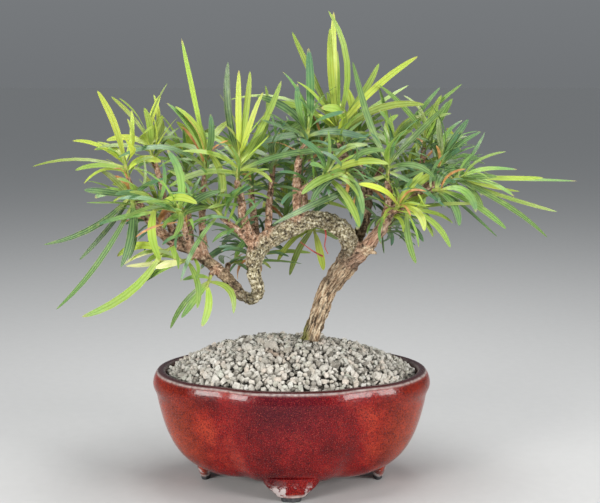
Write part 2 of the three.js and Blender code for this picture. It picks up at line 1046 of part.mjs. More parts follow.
// The hand-placed blades of a spray, lowest root first.
function chosenBlades(spray) {
  const [base, top] = stemEnds(spray);
  return spray.leaves.map(([x, y, z, bow, width], k) => {
    const along = 0.25 + (0.75 * k) / Math.max(1, spray.leaves.length - 1);
    const root = base.clone().lerp(top, along);
    return {
      root,
      reach: reachTo(root, spray, along, [x, y, z]),
      reachAt: (depth) => reachTo(root, spray, along, [x, y + depth, z]),
      bow,
      width,
      facing: new THREE.Vector3(0.2, -0.75 * spray.face, 0.62).normalize(),
      twist: radians(k % 2 === 0 ? 22 : -22),
      stations: longStations,
    };
  });
}

// The blades between them: they turn by the golden angle, and open less towards the top.
function fillBlades(spray, seed) {
  const [base, top] = stemEnds(spray);
  const run = top.clone().sub(base).normalize();
  const side = new THREE.Vector3(1, 0, 0).addScaledVector(run, -run.x).normalize();
  const draw = draws(seed);
  const blades = [];
  for (let k = 0; k < spray.fill; k += 1) {
    const share = (k + 0.5) / spray.fill;
    const turn = radians(goldenAngle * k + 40 * draw());
    const open = radians(84 - 52 * share + 14 * (draw() - 0.5));
    const length = spray.length * (0.85 + 0.45 * draw());
    const away = side.clone().applyAxisAngle(run, turn);
    const reach = run.clone().multiplyScalar(Math.cos(open)).addScaledVector(away, Math.sin(open));
    reach.z -= droop;
    reach.multiplyScalar(length);
    blades.push({
      root: base.clone().lerp(top, 0.2 + 0.75 * share),
      reach,
      bow: 3 + 6 * draw(),
      width: 5.4 + 2.4 * draw(),
      facing: away.clone().multiplyScalar(-0.3).add(new THREE.Vector3(0, -0.6 * spray.face, 0.6)),
      twist: radians(70 * (draw() - 0.5)),
      stations: shortStations,
      axis: run,
    });
  }
  return blades;
}

// Ways to bend a blade clear, the smallest first: hand-placed blades move only in depth,
// by these lengths, the others turn about their stem, by these angles.
const depthMoves = [0, -6, 6, -12, 12, -18, 18, -25, 25, -32, 32, -40, 40];
const turnMoves = [0, 9, -9, 18, -18, 28, -28, 40, -40, 54, -54];

function movedBlades(leaf) {
  if (leaf.axis) {
    return turnMoves.map((angle) => ({
      ...leaf,
      reach: leaf.reach.clone().applyAxisAngle(leaf.axis, radians(angle)),
      facing: leaf.facing.clone().applyAxisAngle(leaf.axis, radians(angle)),
    }));
  }
  return depthMoves.map((depth) => ({ ...leaf, reach: leaf.reachAt(depth) }));
}

function boxOf(solid) {
  const { min, max } = solid.boundingBox();
  return new THREE.Box3(point(min), point(max));
}

// Places each blade in the first way that keeps it clear of every other node.
function placeBlades(taken, name, blades) {
  const placed = [];
  for (const leaf of blades) {
    for (const moved of movedBlades(leaf)) {
      const swollen = bladeSolid(moved, bladeSpare);
      const room = boxOf(swollen);
      const others = taken.filter((other) => other.name !== name && other.box.intersectsBox(room));
      if (others.every((other) => other.solid.intersect(swollen).isEmpty())) {
        const solid = bladeSolid(moved);
        placed.push(solid);
        taken.push({ name, solid, box: boxOf(solid) });
        break;
      }
    }
  }
  return placed;
}

// A twig's stations. The last short stretch runs the way the green stem goes on.
function twigStations(spray) {
  const [start, end] = spray.thick;
  const last = spray.twig.length - 1;
  const stations = spray.twig.map((spot, n) => [
    ...spot,
    THREE.MathUtils.lerp(start, end, n / last),
  ]);
  const run = point(spray.stem).normalize();
  const turn = point(spray.twig[last]).addScaledVector(run, -twigEndLength);
  stations.splice(last, 0, [...turn.toArray(), end]);
  return stations;
}

// The trunk, the limbs and all the twigs grew as one piece.
function woodSolid() {
  const pieces = [trunk, ...limbs].map((limb, k) =>
    limbSolid(limb.points, {
      sides: limb.sides,
      step: limbStep,
      rough: barkRoughness,
      seed: k + 2,
    }),
  );
  Object.values(sprays).forEach((spray, k) => {
    const twig = { sides: twigSides, step: twigStep, rough: barkRoughness / 2, seed: k + 20 };
    pieces.push(limbSolid(twigStations(spray), twig));
  });
  return outerShell(wasm.Manifold.union(pieces).simplify(tidyLength));
}

// All sprays, as one solid each: stems first, then the hand-placed blades, then the rest.
function spraySolids(wood) {
  const names = Object.keys(sprays);
  const taken = [{ name: "wood", solid: wood, box: boxOf(wood) }];
  const parts = names.map((name) => {
    const stem = stemSolid(...stemEnds(sprays[name]));
    taken.push({ name, solid: stem, box: boxOf(stem) });
    return [stem];
  });
  names.forEach((name, k) => {
    parts[k].push(...placeBlades(taken, name, chosenBlades(sprays[name])));
  });
  names.forEach((name, k) => {
    parts[k].push(...placeBlades(taken, name, fillBlades(sprays[name], k + 1)));
  });
  return parts.map((solids) => outerShell(wasm.Manifold.union(solids).simplify(tidyLength)));
}

// The bonsai

const bonsai = new THREE.Group();
const wood = woodSolid();
bonsai.add(meshFrom("pot", potSolid(), looks.glaze));
bonsai.add(meshFrom("drain_screen_left", screenSolid(-1), looks.net));
bonsai.add(meshFrom("drain_screen_right", screenSolid(1), looks.net));
bonsai.add(meshFrom("grit", gritSolid(), looks.stone));
bonsai.add(meshFrom("wood", wood, looks.bark));
spraySolids(wood).forEach((solid, k) => {
  const name = Object.keys(sprays)[k];
  bonsai.add(meshFrom(`spray_${name}`, solid, looks[sprays[name].look]));
});

// The origin lies on the ground, under the middle of the whole plant's box.
const middle = new THREE.Box3().setFromObject(bonsai).getCenter(new THREE.Vector3());
bonsai.position.set(-middle.x, -middle.y, 0);

export default bonsai;
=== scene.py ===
# A small Buddhist pine trained as a bonsai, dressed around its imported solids.
# Metres in Blender. The tables below are in millimetres from the middle of the pot's foot plane.

import math
import random
import bmesh
import bpy
import numpy as np
from mathutils import Matrix, Quaternion, Vector, noise
from mathutils.kdtree import KDTree


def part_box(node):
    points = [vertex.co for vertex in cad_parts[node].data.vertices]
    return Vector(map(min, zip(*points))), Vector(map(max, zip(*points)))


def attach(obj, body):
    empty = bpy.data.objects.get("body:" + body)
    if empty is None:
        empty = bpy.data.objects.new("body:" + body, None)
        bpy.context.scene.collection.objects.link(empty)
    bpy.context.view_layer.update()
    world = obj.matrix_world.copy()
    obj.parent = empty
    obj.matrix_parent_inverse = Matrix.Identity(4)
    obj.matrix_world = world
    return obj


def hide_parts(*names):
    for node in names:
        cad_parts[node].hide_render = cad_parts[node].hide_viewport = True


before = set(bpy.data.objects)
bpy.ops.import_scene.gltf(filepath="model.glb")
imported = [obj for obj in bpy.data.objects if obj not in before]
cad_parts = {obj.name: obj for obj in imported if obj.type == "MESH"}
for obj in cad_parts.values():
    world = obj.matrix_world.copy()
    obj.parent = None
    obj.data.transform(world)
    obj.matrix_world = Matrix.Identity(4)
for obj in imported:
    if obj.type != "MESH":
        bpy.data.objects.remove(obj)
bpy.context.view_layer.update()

mm = 0.001
potLow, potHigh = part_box("pot")
potMiddle = Vector(((potLow.x + potHigh.x) / 2, (potLow.y + potHigh.y) / 2, 0))
print("frame loaded, pot", [round(v, 4) for v in potHigh - potLow])

eye = (7.7, -980, 367)  # where the front view is seen from


def sighted(numbers):
    # a point read off the front view, moved along its line of sight to its depth
    x, y, z = numbers[:3]
    share = 1 - y / eye[1]
    return Vector((eye[0] + (x - eye[0]) * share, y, eye[2] + (z - eye[2]) * share))


def deselect():
    if bpy.context.object and bpy.context.object.mode != "OBJECT":
        bpy.ops.object.mode_set(mode="OBJECT")
    bpy.ops.object.select_all(action="DESELECT")


def activate(piece):
    deselect()
    piece.select_set(True)
    bpy.context.view_layer.objects.active = piece


def applyModifiers(piece):
    activate(piece)
    for modifier in list(piece.modifiers):
        bpy.ops.object.modifier_apply(modifier=modifier.name)


def joinPieces(pieces, name):
    deselect()
    for piece in pieces:
        piece.select_set(True)
    bpy.context.view_layer.objects.active = pieces[0]
    bpy.ops.object.join()
    joined = bpy.context.object
    joined.name = name
    joined.data.name = name
    return joined


def meshPiece(name, corners, faces):
    mesh = bpy.data.meshes.new(name)
    mesh.from_pydata(corners, [], faces)
    piece = bpy.data.objects.new(name, mesh)
    bpy.context.collection.objects.link(piece)
    return piece


def roundBars(lines, roundness):
    # one mesh of round bars; each line is a list of points with their thickness
    deselect()
    bpy.ops.curve.primitive_nurbs_path_add()
    bars = bpy.context.object
    bars.data.splines.clear()
    for points in lines:
        spline = bars.data.splines.new("POLY")
        spline.points.add(len(points) - 1)
        for target, (spot, thick) in zip(spline.points, points):
            target.co = (*(spot * mm), 1)
            target.radius = thick * mm
    bars.data.bevel_depth = 1
    bars.data.bevel_resolution = roundness
    bars.data.use_fill_caps = True
    bpy.ops.object.convert(target="MESH")
    return bpy.context.object


def pointAttribute(piece, name, values):
    layer = piece.data.attributes.new(name, "FLOAT", "POINT")
    layer.data.foreach_set("value", np.asarray(values, dtype=np.float32))


def settle(piece, name, slot, *nodes):
    # the finished piece rides on the pot's body and stands for its solids
    piece.name = name
    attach(piece, "root")
    if nodes:
        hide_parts(*nodes)


# Materials


class Nodes:
    # a short way to write node trees
    def __init__(self, name):
        self.material = bpy.data.materials.new(name)
        self.material.use_nodes = True
        self.tree = self.material.node_tree
        self.shader = self.tree.nodes["Principled BSDF"]

    def add(self, kind, links=None, values=None, **settings):
        made = self.tree.nodes.new("ShaderNode" + kind)
        for key, value in settings.items():
            setattr(made, key, value)
        for key, value in (values or {}).items():
            made.inputs[key].default_value = value
        for key, source in (links or {}).items():
            self.tree.links.new(source, made.inputs[key])
        return made

    def where(self):
        return self.add("TexCoord").outputs["Object"]

    def attribute(self, name):
        return self.add("Attribute", attribute_name=name).outputs["Fac"]

    def noise(self, vector, scale, detail=3, rough=0.5):
        values = {"Scale": scale, "Detail": detail, "Roughness": rough}
        return self.add("TexNoise", {"Vector": vector}, values).outputs["Fac"]

    def cells(self, vector, scale):
        return self.add("TexVoronoi", {"Vector": vector}, {"Scale": scale}).outputs["Distance"]

    def stretched(self, vector, scale):
        return self.add("Mapping", {"Vector": vector}, {"Scale": scale}).outputs[0]

    def ramp(self, factor, stops):
        made = self.add("ValToRGB", {"Fac": factor})
        bands = made.color_ramp.elements
        while len(bands) < len(stops):
            bands.new(0.5)
        for band, (position, colour) in zip(bands, stops):
            band.position = position
            band.color = (*colour, 1)
        return made.outputs["Color"]

    def span(self, factor, low, high, start=0, end=1):
        made = self.add("MapRange", {"Value": factor}, {
            "From Min": low, "From Max": high, "To Min": start, "To Max": end})
        return made.outputs["Result"]

    def sum(self, operation, one, other):
        made = self.add("Math", operation=operation)
        for socket, source in zip(made.inputs, (one, other)):
            if isinstance(source, (int, float)):
                socket.default_value = source
            else:
                self.tree.links.new(source, socket)
        return made.outputs[0]

    def times(self, one, other):
        return self.sum("MULTIPLY", one, other)

    def mix(self, factor, one, other):
        made = self.add("Mix", data_type="RGBA")
        for key, source in (("Factor", factor), ("A", one), ("B", other)):
            socket = [s for s in made.inputs if s.name == key and s.enabled][0]
            if isinstance(source, (int, float)):
                socket.default_value = source
            elif isinstance(source, tuple):
                socket.default_value = (*source, 1)
            else:
                self.tree.links.new(source, socket)
        return [s for s in made.outputs if s.enabled][0]

    def bump(self, height, strength, distance, normal=None):
        links = {"Height": height}
        if normal:
            links["Normal"] = normal
        made = self.add("Bump", links, {"Strength": strength, "Distance": distance})
        return made.outputs["Normal"]

    def finish(self, colour, rough, normal, **fixed):
        for name, source in (("Base Color", colour), ("Roughness", rough), ("Normal", normal)):
            if isinstance(source, (int, float)):
                self.shader.inputs[name].default_value = source
            else:
                self.tree.links.new(source, self.shader.inputs[name])
        for name, value in fixed.items():
            self.shader.inputs[name.replace("_", " ")].default_value = value
        return self.material


# Pot

potShape = {
    "sides": 96,
    "creaseAngle": 58, "creaseSpread": 10, "creaseDepth": 0.04,  # soft folds between the lobes
    "underFold": 0.07, "underFoldTop": 62, "underFoldRun": 30,  # the folds deepen towards the bottom
    "outerShare": 176 / 254, "innerShare": 0.66,  # depth over width
    # half width and height up the outside, then the rim with its half depth, then down the inside
    "outer": [(58, 12), (72, 12.6), (84, 15.2), (93, 19.6), (100.5, 25.5), (106.5, 32.5), (111.2, 40.5),
              (115, 49), (118, 58), (120.4, 67), (122.2, 75), (122.9, 78.6), (123.3, 81.6), (124.2, 84.4),
              (125.4, 87), (126.5, 89.6), (127, 92.2), (126.7, 94.8), (126.1, 97.4), (125.2, 99.9),
              (124, 102.2), (123, 103.7)],
    "rim": [(121.4, 104.8, 82.9), (118.5, 105, 80), (116.4, 104.5, 77.2)],
    "inner": [(115.3, 103.2), (114, 100), (112.5, 94), (110.5, 72), (103.5, 50), (90, 32), (64, 21)],
    "insideWall": [(66, 12), (74, 21), (107, 50), (115, 72)],  # a line between the two faces
    "footReach": 80, "footInward": 0.75, "footSides": 40,
    # half width, half depth, height
    "foot": [(8.4, 4.0, 0), (8.8, 4.3, 0.5), (9.1, 4.4, 3.8), (10, 4.8, 4.2), (12.2, 5.3, 4.5),
             (13.2, 5.7, 5.6), (15.5, 6.4, 8), (18.6, 7, 10.6), (21.4, 7.5, 13), (24, 7.9, 16.5),
             (26.5, 8.4, 22.5)],
    "padHeight": 4.1,
    "drainReach": 42, "drainRadius": 8, "drainSides": 32, "drainCut": 40, "drainHeight": 12,
    "sharpAngle": 38,
    # edges that the glaze leaves thin: reach and height, each with its spread
    "lip": (123.4, 1.2, 103.6, 1.1), "innerLip": (115.8, 1.2, 104, 1.5), "innerLipShare": 0.55,
    "skirt": (5.4, 1.1),
    # where the rim and inside start, and the height and run of the painted highlight on the feet
    "rimFrom": (123.2, 103.6), "insideFrom": (116.5, 60), "footHighlightBand": (17, 4),
}

glaze = {
    "clouds": [(0.34, (0.06, 0.002, 0.003)), (0.46, (0.15, 0.004, 0.004)),
               (0.57, (0.25, 0.008, 0.007)), (0.7, (0.36, 0.03, 0.016))],
    "middle": (0.085, 0.006, 0.013), "ends": (0.52, 0.09, 0.026),
    "grain": (0.035, 0.003, 0.01), "pepper": (0.03, 0.002, 0.003), "fleck": (0.6, 0.09, 0.06),
    "rim": (0.045, 0.006, 0.008), "thin": (0.5, 0.43, 0.4), "footHighlight": (0.55, 0.48, 0.47),
    "clay": [(0.3, (0.022, 0.023, 0.026)), (0.7, (0.07, 0.07, 0.075))],
}


def lobe(angle):
    turn = abs(math.degrees(math.atan2(math.sin(angle), math.cos(angle))))
    fromSide = min(turn, 180 - turn)
    offset = (fromSide - potShape["creaseAngle"]) / potShape["creaseSpread"]
    return 1 - potShape["creaseDepth"] * math.exp(-offset * offset)


def raisedRings(name, sides, rows, lobed=False):
    # a filled ring is extruded and resized row by row; a row is half width, half depth, height
    deselect()
    bpy.ops.mesh.primitive_circle_add(vertices=sides, radius=1, fill_type="NGON")
    shape = bpy.context.object
    shape.name = name
    bpy.ops.object.mode_set(mode="EDIT")
    if lobed:
        mesh = bmesh.from_edit_mesh(shape.data)
        for vertex in mesh.verts:
            vertex.co.xy *= lobe(math.atan2(vertex.co.y, vertex.co.x))
        bmesh.update_edit_mesh(shape.data)
    wide, deep, height = rows[0]
    bpy.ops.transform.resize(value=(wide * mm, deep * mm, 1))
    bpy.ops.transform.translate(value=(0, 0, height * mm))
    for nextWide, nextDeep, nextHeight in rows[1:]:
        rise = (0, 0, (nextHeight - height) * mm)
        bpy.ops.mesh.extrude_region_move(TRANSFORM_OT_translate={"value": rise})
        bpy.ops.transform.resize(value=(nextWide / wide, nextDeep / deep, 1))
        wide, deep, height = nextWide, nextDeep, nextHeight
    bpy.ops.mesh.select_all(action="SELECT")
    bpy.ops.mesh.normals_make_consistent(inside=False)
    bpy.ops.object.mode_set(mode="OBJECT")
    return shape


def moved(shape, x, y):
    activate(shape)
    shape.location = (x * mm, y * mm, 0)
    bpy.ops.object.transform_apply(location=True, rotation=True, scale=True)


def combine(piece, tool, operation):
    modifier = piece.modifiers.new("combine", "BOOLEAN")
    modifier.operation = operation
    modifier.solver = "EXACT"
    modifier.object = tool
    applyModifiers(piece)
    bpy.data.objects.remove(tool)


def makePot():
    shape = potShape
    rows = [(reach, reach * shape["outerShare"], height) for reach, height in shape["outer"]]
    rows += [(reach, deep, height) for reach, height, deep in shape["rim"]]
    rows += [(reach, reach * shape["innerShare"], height) for reach, height in shape["inner"]]
    pot = raisedRings("pot_glazed", shape["sides"], rows, lobed=True)
    smooth = pot.modifiers.new("smooth", "SUBSURF")
    smooth.levels = 1
    smooth.render_levels = 1
    applyModifiers(pot)
    wallReaches, wallHeights = zip(*shape["insideWall"])
    for vertex in pot.data.vertices:
        x, y, z = vertex.co / mm
        reach = math.hypot(x, y / shape["outerShare"])
        low = max(0, min(1, (shape["underFoldTop"] - z) / shape["underFoldRun"]))
        outside = reach > np.interp(z, wallHeights, wallReaches)
        fold = (1 - lobe(math.atan2(y / shape["outerShare"], x))) / shape["creaseDepth"]
        if outside and low:
            vertex.co.xy *= 1 - shape["underFold"] * fold * low
    inward = shape["footInward"]
    for x, y in ((0, -1), (0, 1), (-1, 0), (1, 0)):
        rows = [(deep, wide, height) if x else (wide, deep, height) for wide, deep, height in shape["foot"]]
        foot = raisedRings("foot", shape["footSides"], rows)
        moved(foot, x * shape["footReach"], y * shape["footReach"] * inward)
        combine(pot, foot, "UNION")
    for side in (-1, 1):
        deselect()
        bpy.ops.mesh.primitive_cylinder_add(
            vertices=shape["drainSides"], radius=shape["drainRadius"] * mm, depth=shape["drainCut"] * mm,
            location=(side * shape["drainReach"] * mm, 0, shape["drainHeight"] * mm))
        hole = bpy.context.object
        bpy.ops.object.transform_apply(location=True, rotation=False, scale=False)
        combine(pot, hole, "DIFFERENCE")
    paintPot(pot)
    return pot


def ridge(value, middle, spread):
    # 1 at the middle, falling off on both sides
    return math.exp(-((value - middle) / spread) ** 2)


def paintPot(pot):
    # where the glaze breaks thin over edges, where it pools dark on the rim, and where a highlight is
    # painted on the feet
    shape = potShape
    thin, rim, foot = [], [], []
    for vertex in pot.data.vertices:
        x, y, z = vertex.co / mm
        angle = math.atan2(y / shape["outerShare"], x)
        reach = math.hypot(x, y / shape["outerShare"]) / lobe(angle)
        inReach = math.hypot(x, y / shape["innerShare"]) / lobe(angle)
        lip = ridge(reach, *shape["lip"][:2]) * ridge(z, *shape["lip"][2:])
        innerLip = ridge(inReach, *shape["innerLip"][:2]) * ridge(z, *shape["innerLip"][2:])
        thin.append(min(1, max(lip, shape["innerLipShare"] * innerLip, ridge(z, *shape["skirt"]))))
        onRim = reach < shape["rimFrom"][0] and z > shape["rimFrom"][1]
        inside = inReach < shape["insideFrom"][0] and z > shape["insideFrom"][1]
        rim.append(1.0 if onRim or inside else 0.0)
        # the lower feet get a painted highlight, whitish in the glaze
        highlightTop, highlightRun = shape["footHighlightBand"]
        foot.append(min(1, max(0, (highlightTop - z) / highlightRun)))
    pointAttribute(pot, "thin", thin)
    pointAttribute(pot, "rim", rim)
    pointAttribute(pot, "foot", foot)
    pot.data.transform(Matrix.Translation(potMiddle))
    pot.data.materials.append(glazeMaterial())
    pot.data.materials.append(clayMaterial())
    for face in pot.data.polygons:
        if face.center.z < shape["padHeight"] * mm:
            face.material_index = 1
    activate(pot)
    bpy.ops.object.shade_smooth_by_angle(angle=math.radians(shape["sharpAngle"]))


def glazeMaterial():
    n = Nodes("glaze_red")
    here = n.add("Mapping", {"Vector": n.where()}, {"Location": -potMiddle}).outputs[0]
    split = n.add("SeparateXYZ", {"Vector": here}).outputs
    sideways = n.sum("ABSOLUTE", split["X"], 0)
    clouds = n.noise(here, 26, detail=5, rough=0.62)
    red = n.ramp(clouds, glaze["clouds"])
    upper = n.span(split["Z"], 0.045, 0.085, 0.25, 1)
    middle = n.span(sideways, 0.012, 0.07, 0.8, 0)
    red = n.mix(n.times(upper, middle), red, glaze["middle"])
    low = n.span(split["Z"], 0.1, 0.045, 0.2, 0.85)
    ends = n.span(n.sum("ADD", sideways, n.times(clouds, 0.06)), 0.095, 0.145, 0, 0.9)
    red = n.mix(n.times(low, ends), red, glaze["ends"])
    grains = n.cells(here, 480)
    red = n.mix(n.span(grains, 0.1, 0.45, 0.8, 0), red, glaze["grain"])
    pepper = n.noise(here, 900, detail=3, rough=0.7)
    red = n.mix(n.span(pepper, 0.48, 0.6, 0, 0.75), red, glaze["pepper"])
    fleck = n.noise(here, 1300, detail=2)
    red = n.mix(n.span(fleck, 0.6, 0.68, 0, 0.4), red, glaze["fleck"])
    red = n.mix(n.times(n.attribute("rim"), 0.93), red, glaze["rim"])
    worn = n.span(n.noise(here, 260, detail=4), 0.3, 0.62, 0.35, 1)
    red = n.mix(n.times(n.attribute("thin"), worn), red, glaze["thin"])
    # a painted highlight: whitish spots on the feet
    highlightPatches = n.span(n.noise(here, 130, detail=4, rough=0.7), 0.5, 0.58, 0, 0.9)
    red = n.mix(n.times(highlightPatches, n.attribute("foot")), red, glaze["footHighlight"])
    rough = n.span(grains, 0, 0.5, 0.36, 0.18)
    peel = n.bump(n.noise(here, 420, detail=3, rough=0.6), 0.45, 0.0007)
    return n.finish(red, rough, peel, Specular_IOR_Level=0.12, IOR=1.5,
                    Coat_Weight=0.22, Coat_Roughness=0.05)


def clayMaterial():
    n = Nodes("bare_clay")
    here = n.where()
    tone = n.ramp(n.noise(here, 300, detail=5), glaze["clay"])
    return n.finish(tone, 0.85, n.bump(n.noise(here, 900, detail=4), 0.4, 0.0004))


pot = makePot()
settle(pot, "pot_glazed", "glaze", "pot")
print("pot", len(pot.data.polygons), "faces")


# Drain screens

netTones = [(0.3, (0.012, 0.013, 0.014)), (0.7, (0.03, 0.032, 0.034))]


def netMaterial():
    n = Nodes("plastic_net")
    here = n.where()
    tone = n.ramp(n.noise(here, 500, detail=3), netTones)
    return n.finish(tone, 0.45, n.bump(n.noise(here, 1200), 0.2, 0.0002))


net = netMaterial()
for name in ("drain_screen_left", "drain_screen_right"):
    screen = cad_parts[name]
    screen.data.materials.clear()
    screen.data.materials.append(net)


# Grit

grit = {
    "seed": 7,
    "edge": 101, "rise": 30, "crownX": -8, "mouth": 112.5, "roundness": 2.5,  # the mound
    "chips": 16, "bevel": (0.1, 0.12), "push": 0.15,
    "spacing": 4.6, "grain": (3.2, 6.3),  # across, smallest and largest
    "layers": [(0.9, 1.0, 1.0), (3.9, 1.15, 0.1)],  # drop, spacing, and how lit each is painted: the lower layer is painted dark as the shade between the grains
    "scatter": 0.36, "heightScatter": 1.2,
    "usualShare": 0.88, "bigScale": 1.3,
    "thin": (0.68, 0.92), "flat": (0.5, 0.78), "scale": 0.92,
    "wall": 114.4,
    "trunkPlace": (16.6, 0.4), "trunkRadius": 9,
    "bigStone": (-19, -21, 12.5), "bigStoneTone": 0.35, "brownPatch": (-14, -31, 9),
    "bed": [(63, 22), (88.5, 33), (102, 51), (109.3, 73), (111.6, 94), (112, 98.5), (100, 99), (80, 99),
            (55, 99), (30, 99), (8, 99)],
    "bedSides": 64, "bedTop": 98.8, "bedDrop": 3.6,
    # the darkest stops serve mostly the lower layer's painted shade
    "stone": [(0.0, (0.13, 0.12, 0.1)), (0.1, (0.3, 0.28, 0.24)), (0.14, (0.42, 0.4, 0.35)),
              (0.4, (0.57, 0.545, 0.485)), (0.62, (0.68, 0.66, 0.6)), (0.8, (0.62, 0.54, 0.46)),
              (0.9, (0.46, 0.47, 0.4)), (1.0, (0.84, 0.82, 0.77))],
    "speck": (0.2, 0.18, 0.155), "chalk": (0.8, 0.78, 0.72), "brown": (0.16, 0.1, 0.06),
    # near black: painted shade seen in the gaps between the grains
    "gapShade": [(0.3, (0.012, 0.011, 0.009)), (0.7, (0.05, 0.044, 0.036))],
}


def moundHeight(x, y):
    crown = grit["crownX"]
    across = (x - crown) / (grit["mouth"] - crown if x > crown else grit["mouth"] + crown)
    deep = y / (grit["mouth"] * potShape["innerShare"])
    out = min(1, math.hypot(across, deep))
    return grit["edge"] + grit["rise"] * (1 - out ** grit["roundness"])


def gritChips():
    # a few crushed stones, each a bevelled cube with its corners pushed about
    draw = random.Random(grit["seed"])
    least, more = grit["bevel"]
    chips = []
    for n in range(grit["chips"]):
        deselect()
        bpy.ops.mesh.primitive_cube_add(size=1)
        bpy.ops.object.mode_set(mode="EDIT")
        bpy.ops.mesh.bevel(offset=least + more * draw.random(), segments=1, affect="EDGES")
        bpy.ops.object.mode_set(mode="OBJECT")
        chip = bpy.context.object
        corners = np.array([v.co[:] for v in chip.data.vertices])
        push = np.array([[draw.uniform(-grit["push"], grit["push"]) for _ in range(3)] for _ in corners])
        faces = [tuple(f.vertices) for f in chip.data.polygons]
        chips.append((corners + push, faces))
        bpy.data.objects.remove(chip)
    return chips


def grainPlaces(draw):
    # two staggered layers over the mound, as place, size and tone; the lower layer's tone is kept low, as
    # painted shade in the gaps
    places = []
    step, scatter = grit["spacing"], grit["scatter"]
    trunkX, trunkY = grit["trunkPlace"]
    bigX, bigY, bigSize = grit["bigStone"]
    reachX = grit["mouth"] + 3
    reachY = reachX * potShape["innerShare"]
    for layer, (drop, stride, litShare) in enumerate(grit["layers"]):
        row = 0
        y = -reachY
        while y < reachY:
            x = -reachX + (row % 2) * step / 2 + layer * step / 3
            while x < reachX:
                gx = x + draw.uniform(-scatter, scatter) * step
                gy = y + draw.uniform(-scatter, scatter) * step
                size = draw.uniform(*grit["grain"])
                size *= 1.0 if draw.random() < grit["usualShare"] else grit["bigScale"]
                angle = math.atan2(gy / potShape["innerShare"], gx)
                reach = math.hypot(gx, gy / potShape["innerShare"]) / lobe(angle)
                offTrunk = math.hypot(gx - trunkX, gy - trunkY) > grit["trunkRadius"] + size * 0.3
                offBig = math.hypot(gx - bigX, gy - bigY) > bigSize * 0.45
                if reach < grit["wall"] - size * 0.5 and offTrunk and offBig:
                    high = grit["heightScatter"]
                    height = moundHeight(gx, gy) - drop + draw.uniform(-high, high)
                    places.append((gx, gy, height, size, draw.random() * litShare))
                x += step * stride
            y += step * stride * 0.866
            row += 1
    places.append((bigX, bigY, moundHeight(bigX, bigY) - 0.5, bigSize, grit["bigStoneTone"]))
    return places


def makeGrit():
    draw = random.Random(grit["seed"] + 1)
    chips = gritChips()
    points, faces, tones, brown = [], [], [], []
    patchX, patchY, patchReach = grit["brownPatch"]
    for x, y, z, size, tone in grainPlaces(draw):
        corners, sides = chips[draw.randrange(len(chips))]
        spin = np.array(Quaternion([draw.gauss(0, 1) for _ in range(4)]).normalized().to_matrix())
        stretch = np.array((1.0, draw.uniform(*grit["thin"]), draw.uniform(*grit["flat"])))
        placed = (corners * (stretch * size * grit["scale"])) @ spin.T + np.array((x, y, z))
        start = len(points)
        points.extend(placed.tolist())
        faces.extend(tuple(start + i for i in side) for side in sides)
        stain = math.exp(-(math.hypot(x - patchX, y - patchY) / patchReach) ** 2)
        tones.extend([tone] * len(corners))
        brown.extend([stain * draw.uniform(0.2, 1)] * len(corners))
    grains = meshPiece("grains", [tuple(p * mm for p in point) for point in points], faces)
    pointAttribute(grains, "tone", tones)
    pointAttribute(grains, "brown", brown)
    grains.data.materials.append(gritMaterial())

    # the imported bed under the grains, painted near black as the shade in the gaps between them
    rows = [(wide, wide * potShape["innerShare"], height) for wide, height in grit["bed"]]
    bed = raisedRings("bed", grit["bedSides"], rows, lobed=True)
    for vertex in bed.data.vertices:
        x, y, z = vertex.co / mm
        if z > grit["bedTop"]:
            vertex.co.z = (moundHeight(x, y) - grit["bedDrop"]) * mm
    pointAttribute(bed, "tone", [0.1] * len(bed.data.vertices))
    pointAttribute(bed, "brown", [0.6] * len(bed.data.vertices))
    bed.data.materials.append(bedMaterial())
    joined = joinPieces([grains, bed], "grit_grains")
    joined.data.transform(Matrix.Translation(potMiddle))
    return joined


def gritMaterial():
    n = Nodes("pumice_grit")
    here = n.where()
    tone = n.attribute("tone")
    stone = n.ramp(tone, grit["stone"])
    specks = n.noise(here, 1300, detail=4, rough=0.7)
    stone = n.mix(n.span(specks, 0.4, 0.68, 0.4, 0), stone, grit["speck"])
    stone = n.mix(n.span(n.noise(here, 500, detail=2), 0.5, 0.7, 0, 0.35), stone, grit["chalk"])
    stone = n.mix(n.attribute("brown"), stone, grit["brown"])
    pits = n.bump(n.noise(here, 1100, detail=5, rough=0.7), 0.6, 0.0007)
    return n.finish(stone, 0.95, pits, Specular_IOR_Level=0.2)


def bedMaterial():
    n = Nodes("grit_gap_shade")
    # painted shade: the bed shows only as dark gaps between the grains
    here = n.where()
    gapShade = n.ramp(n.noise(here, 700, detail=5), grit["gapShade"])
    return n.finish(gapShade, 0.97, n.bump(n.noise(here, 900, detail=4), 0.6, 0.001))


gritBed = makeGrit()
settle(gritBed, "grit_grains", "grit", "grit")
print("grit", len(gritBed.data.polygons), "faces")


# Sprays, as they stand in the solids

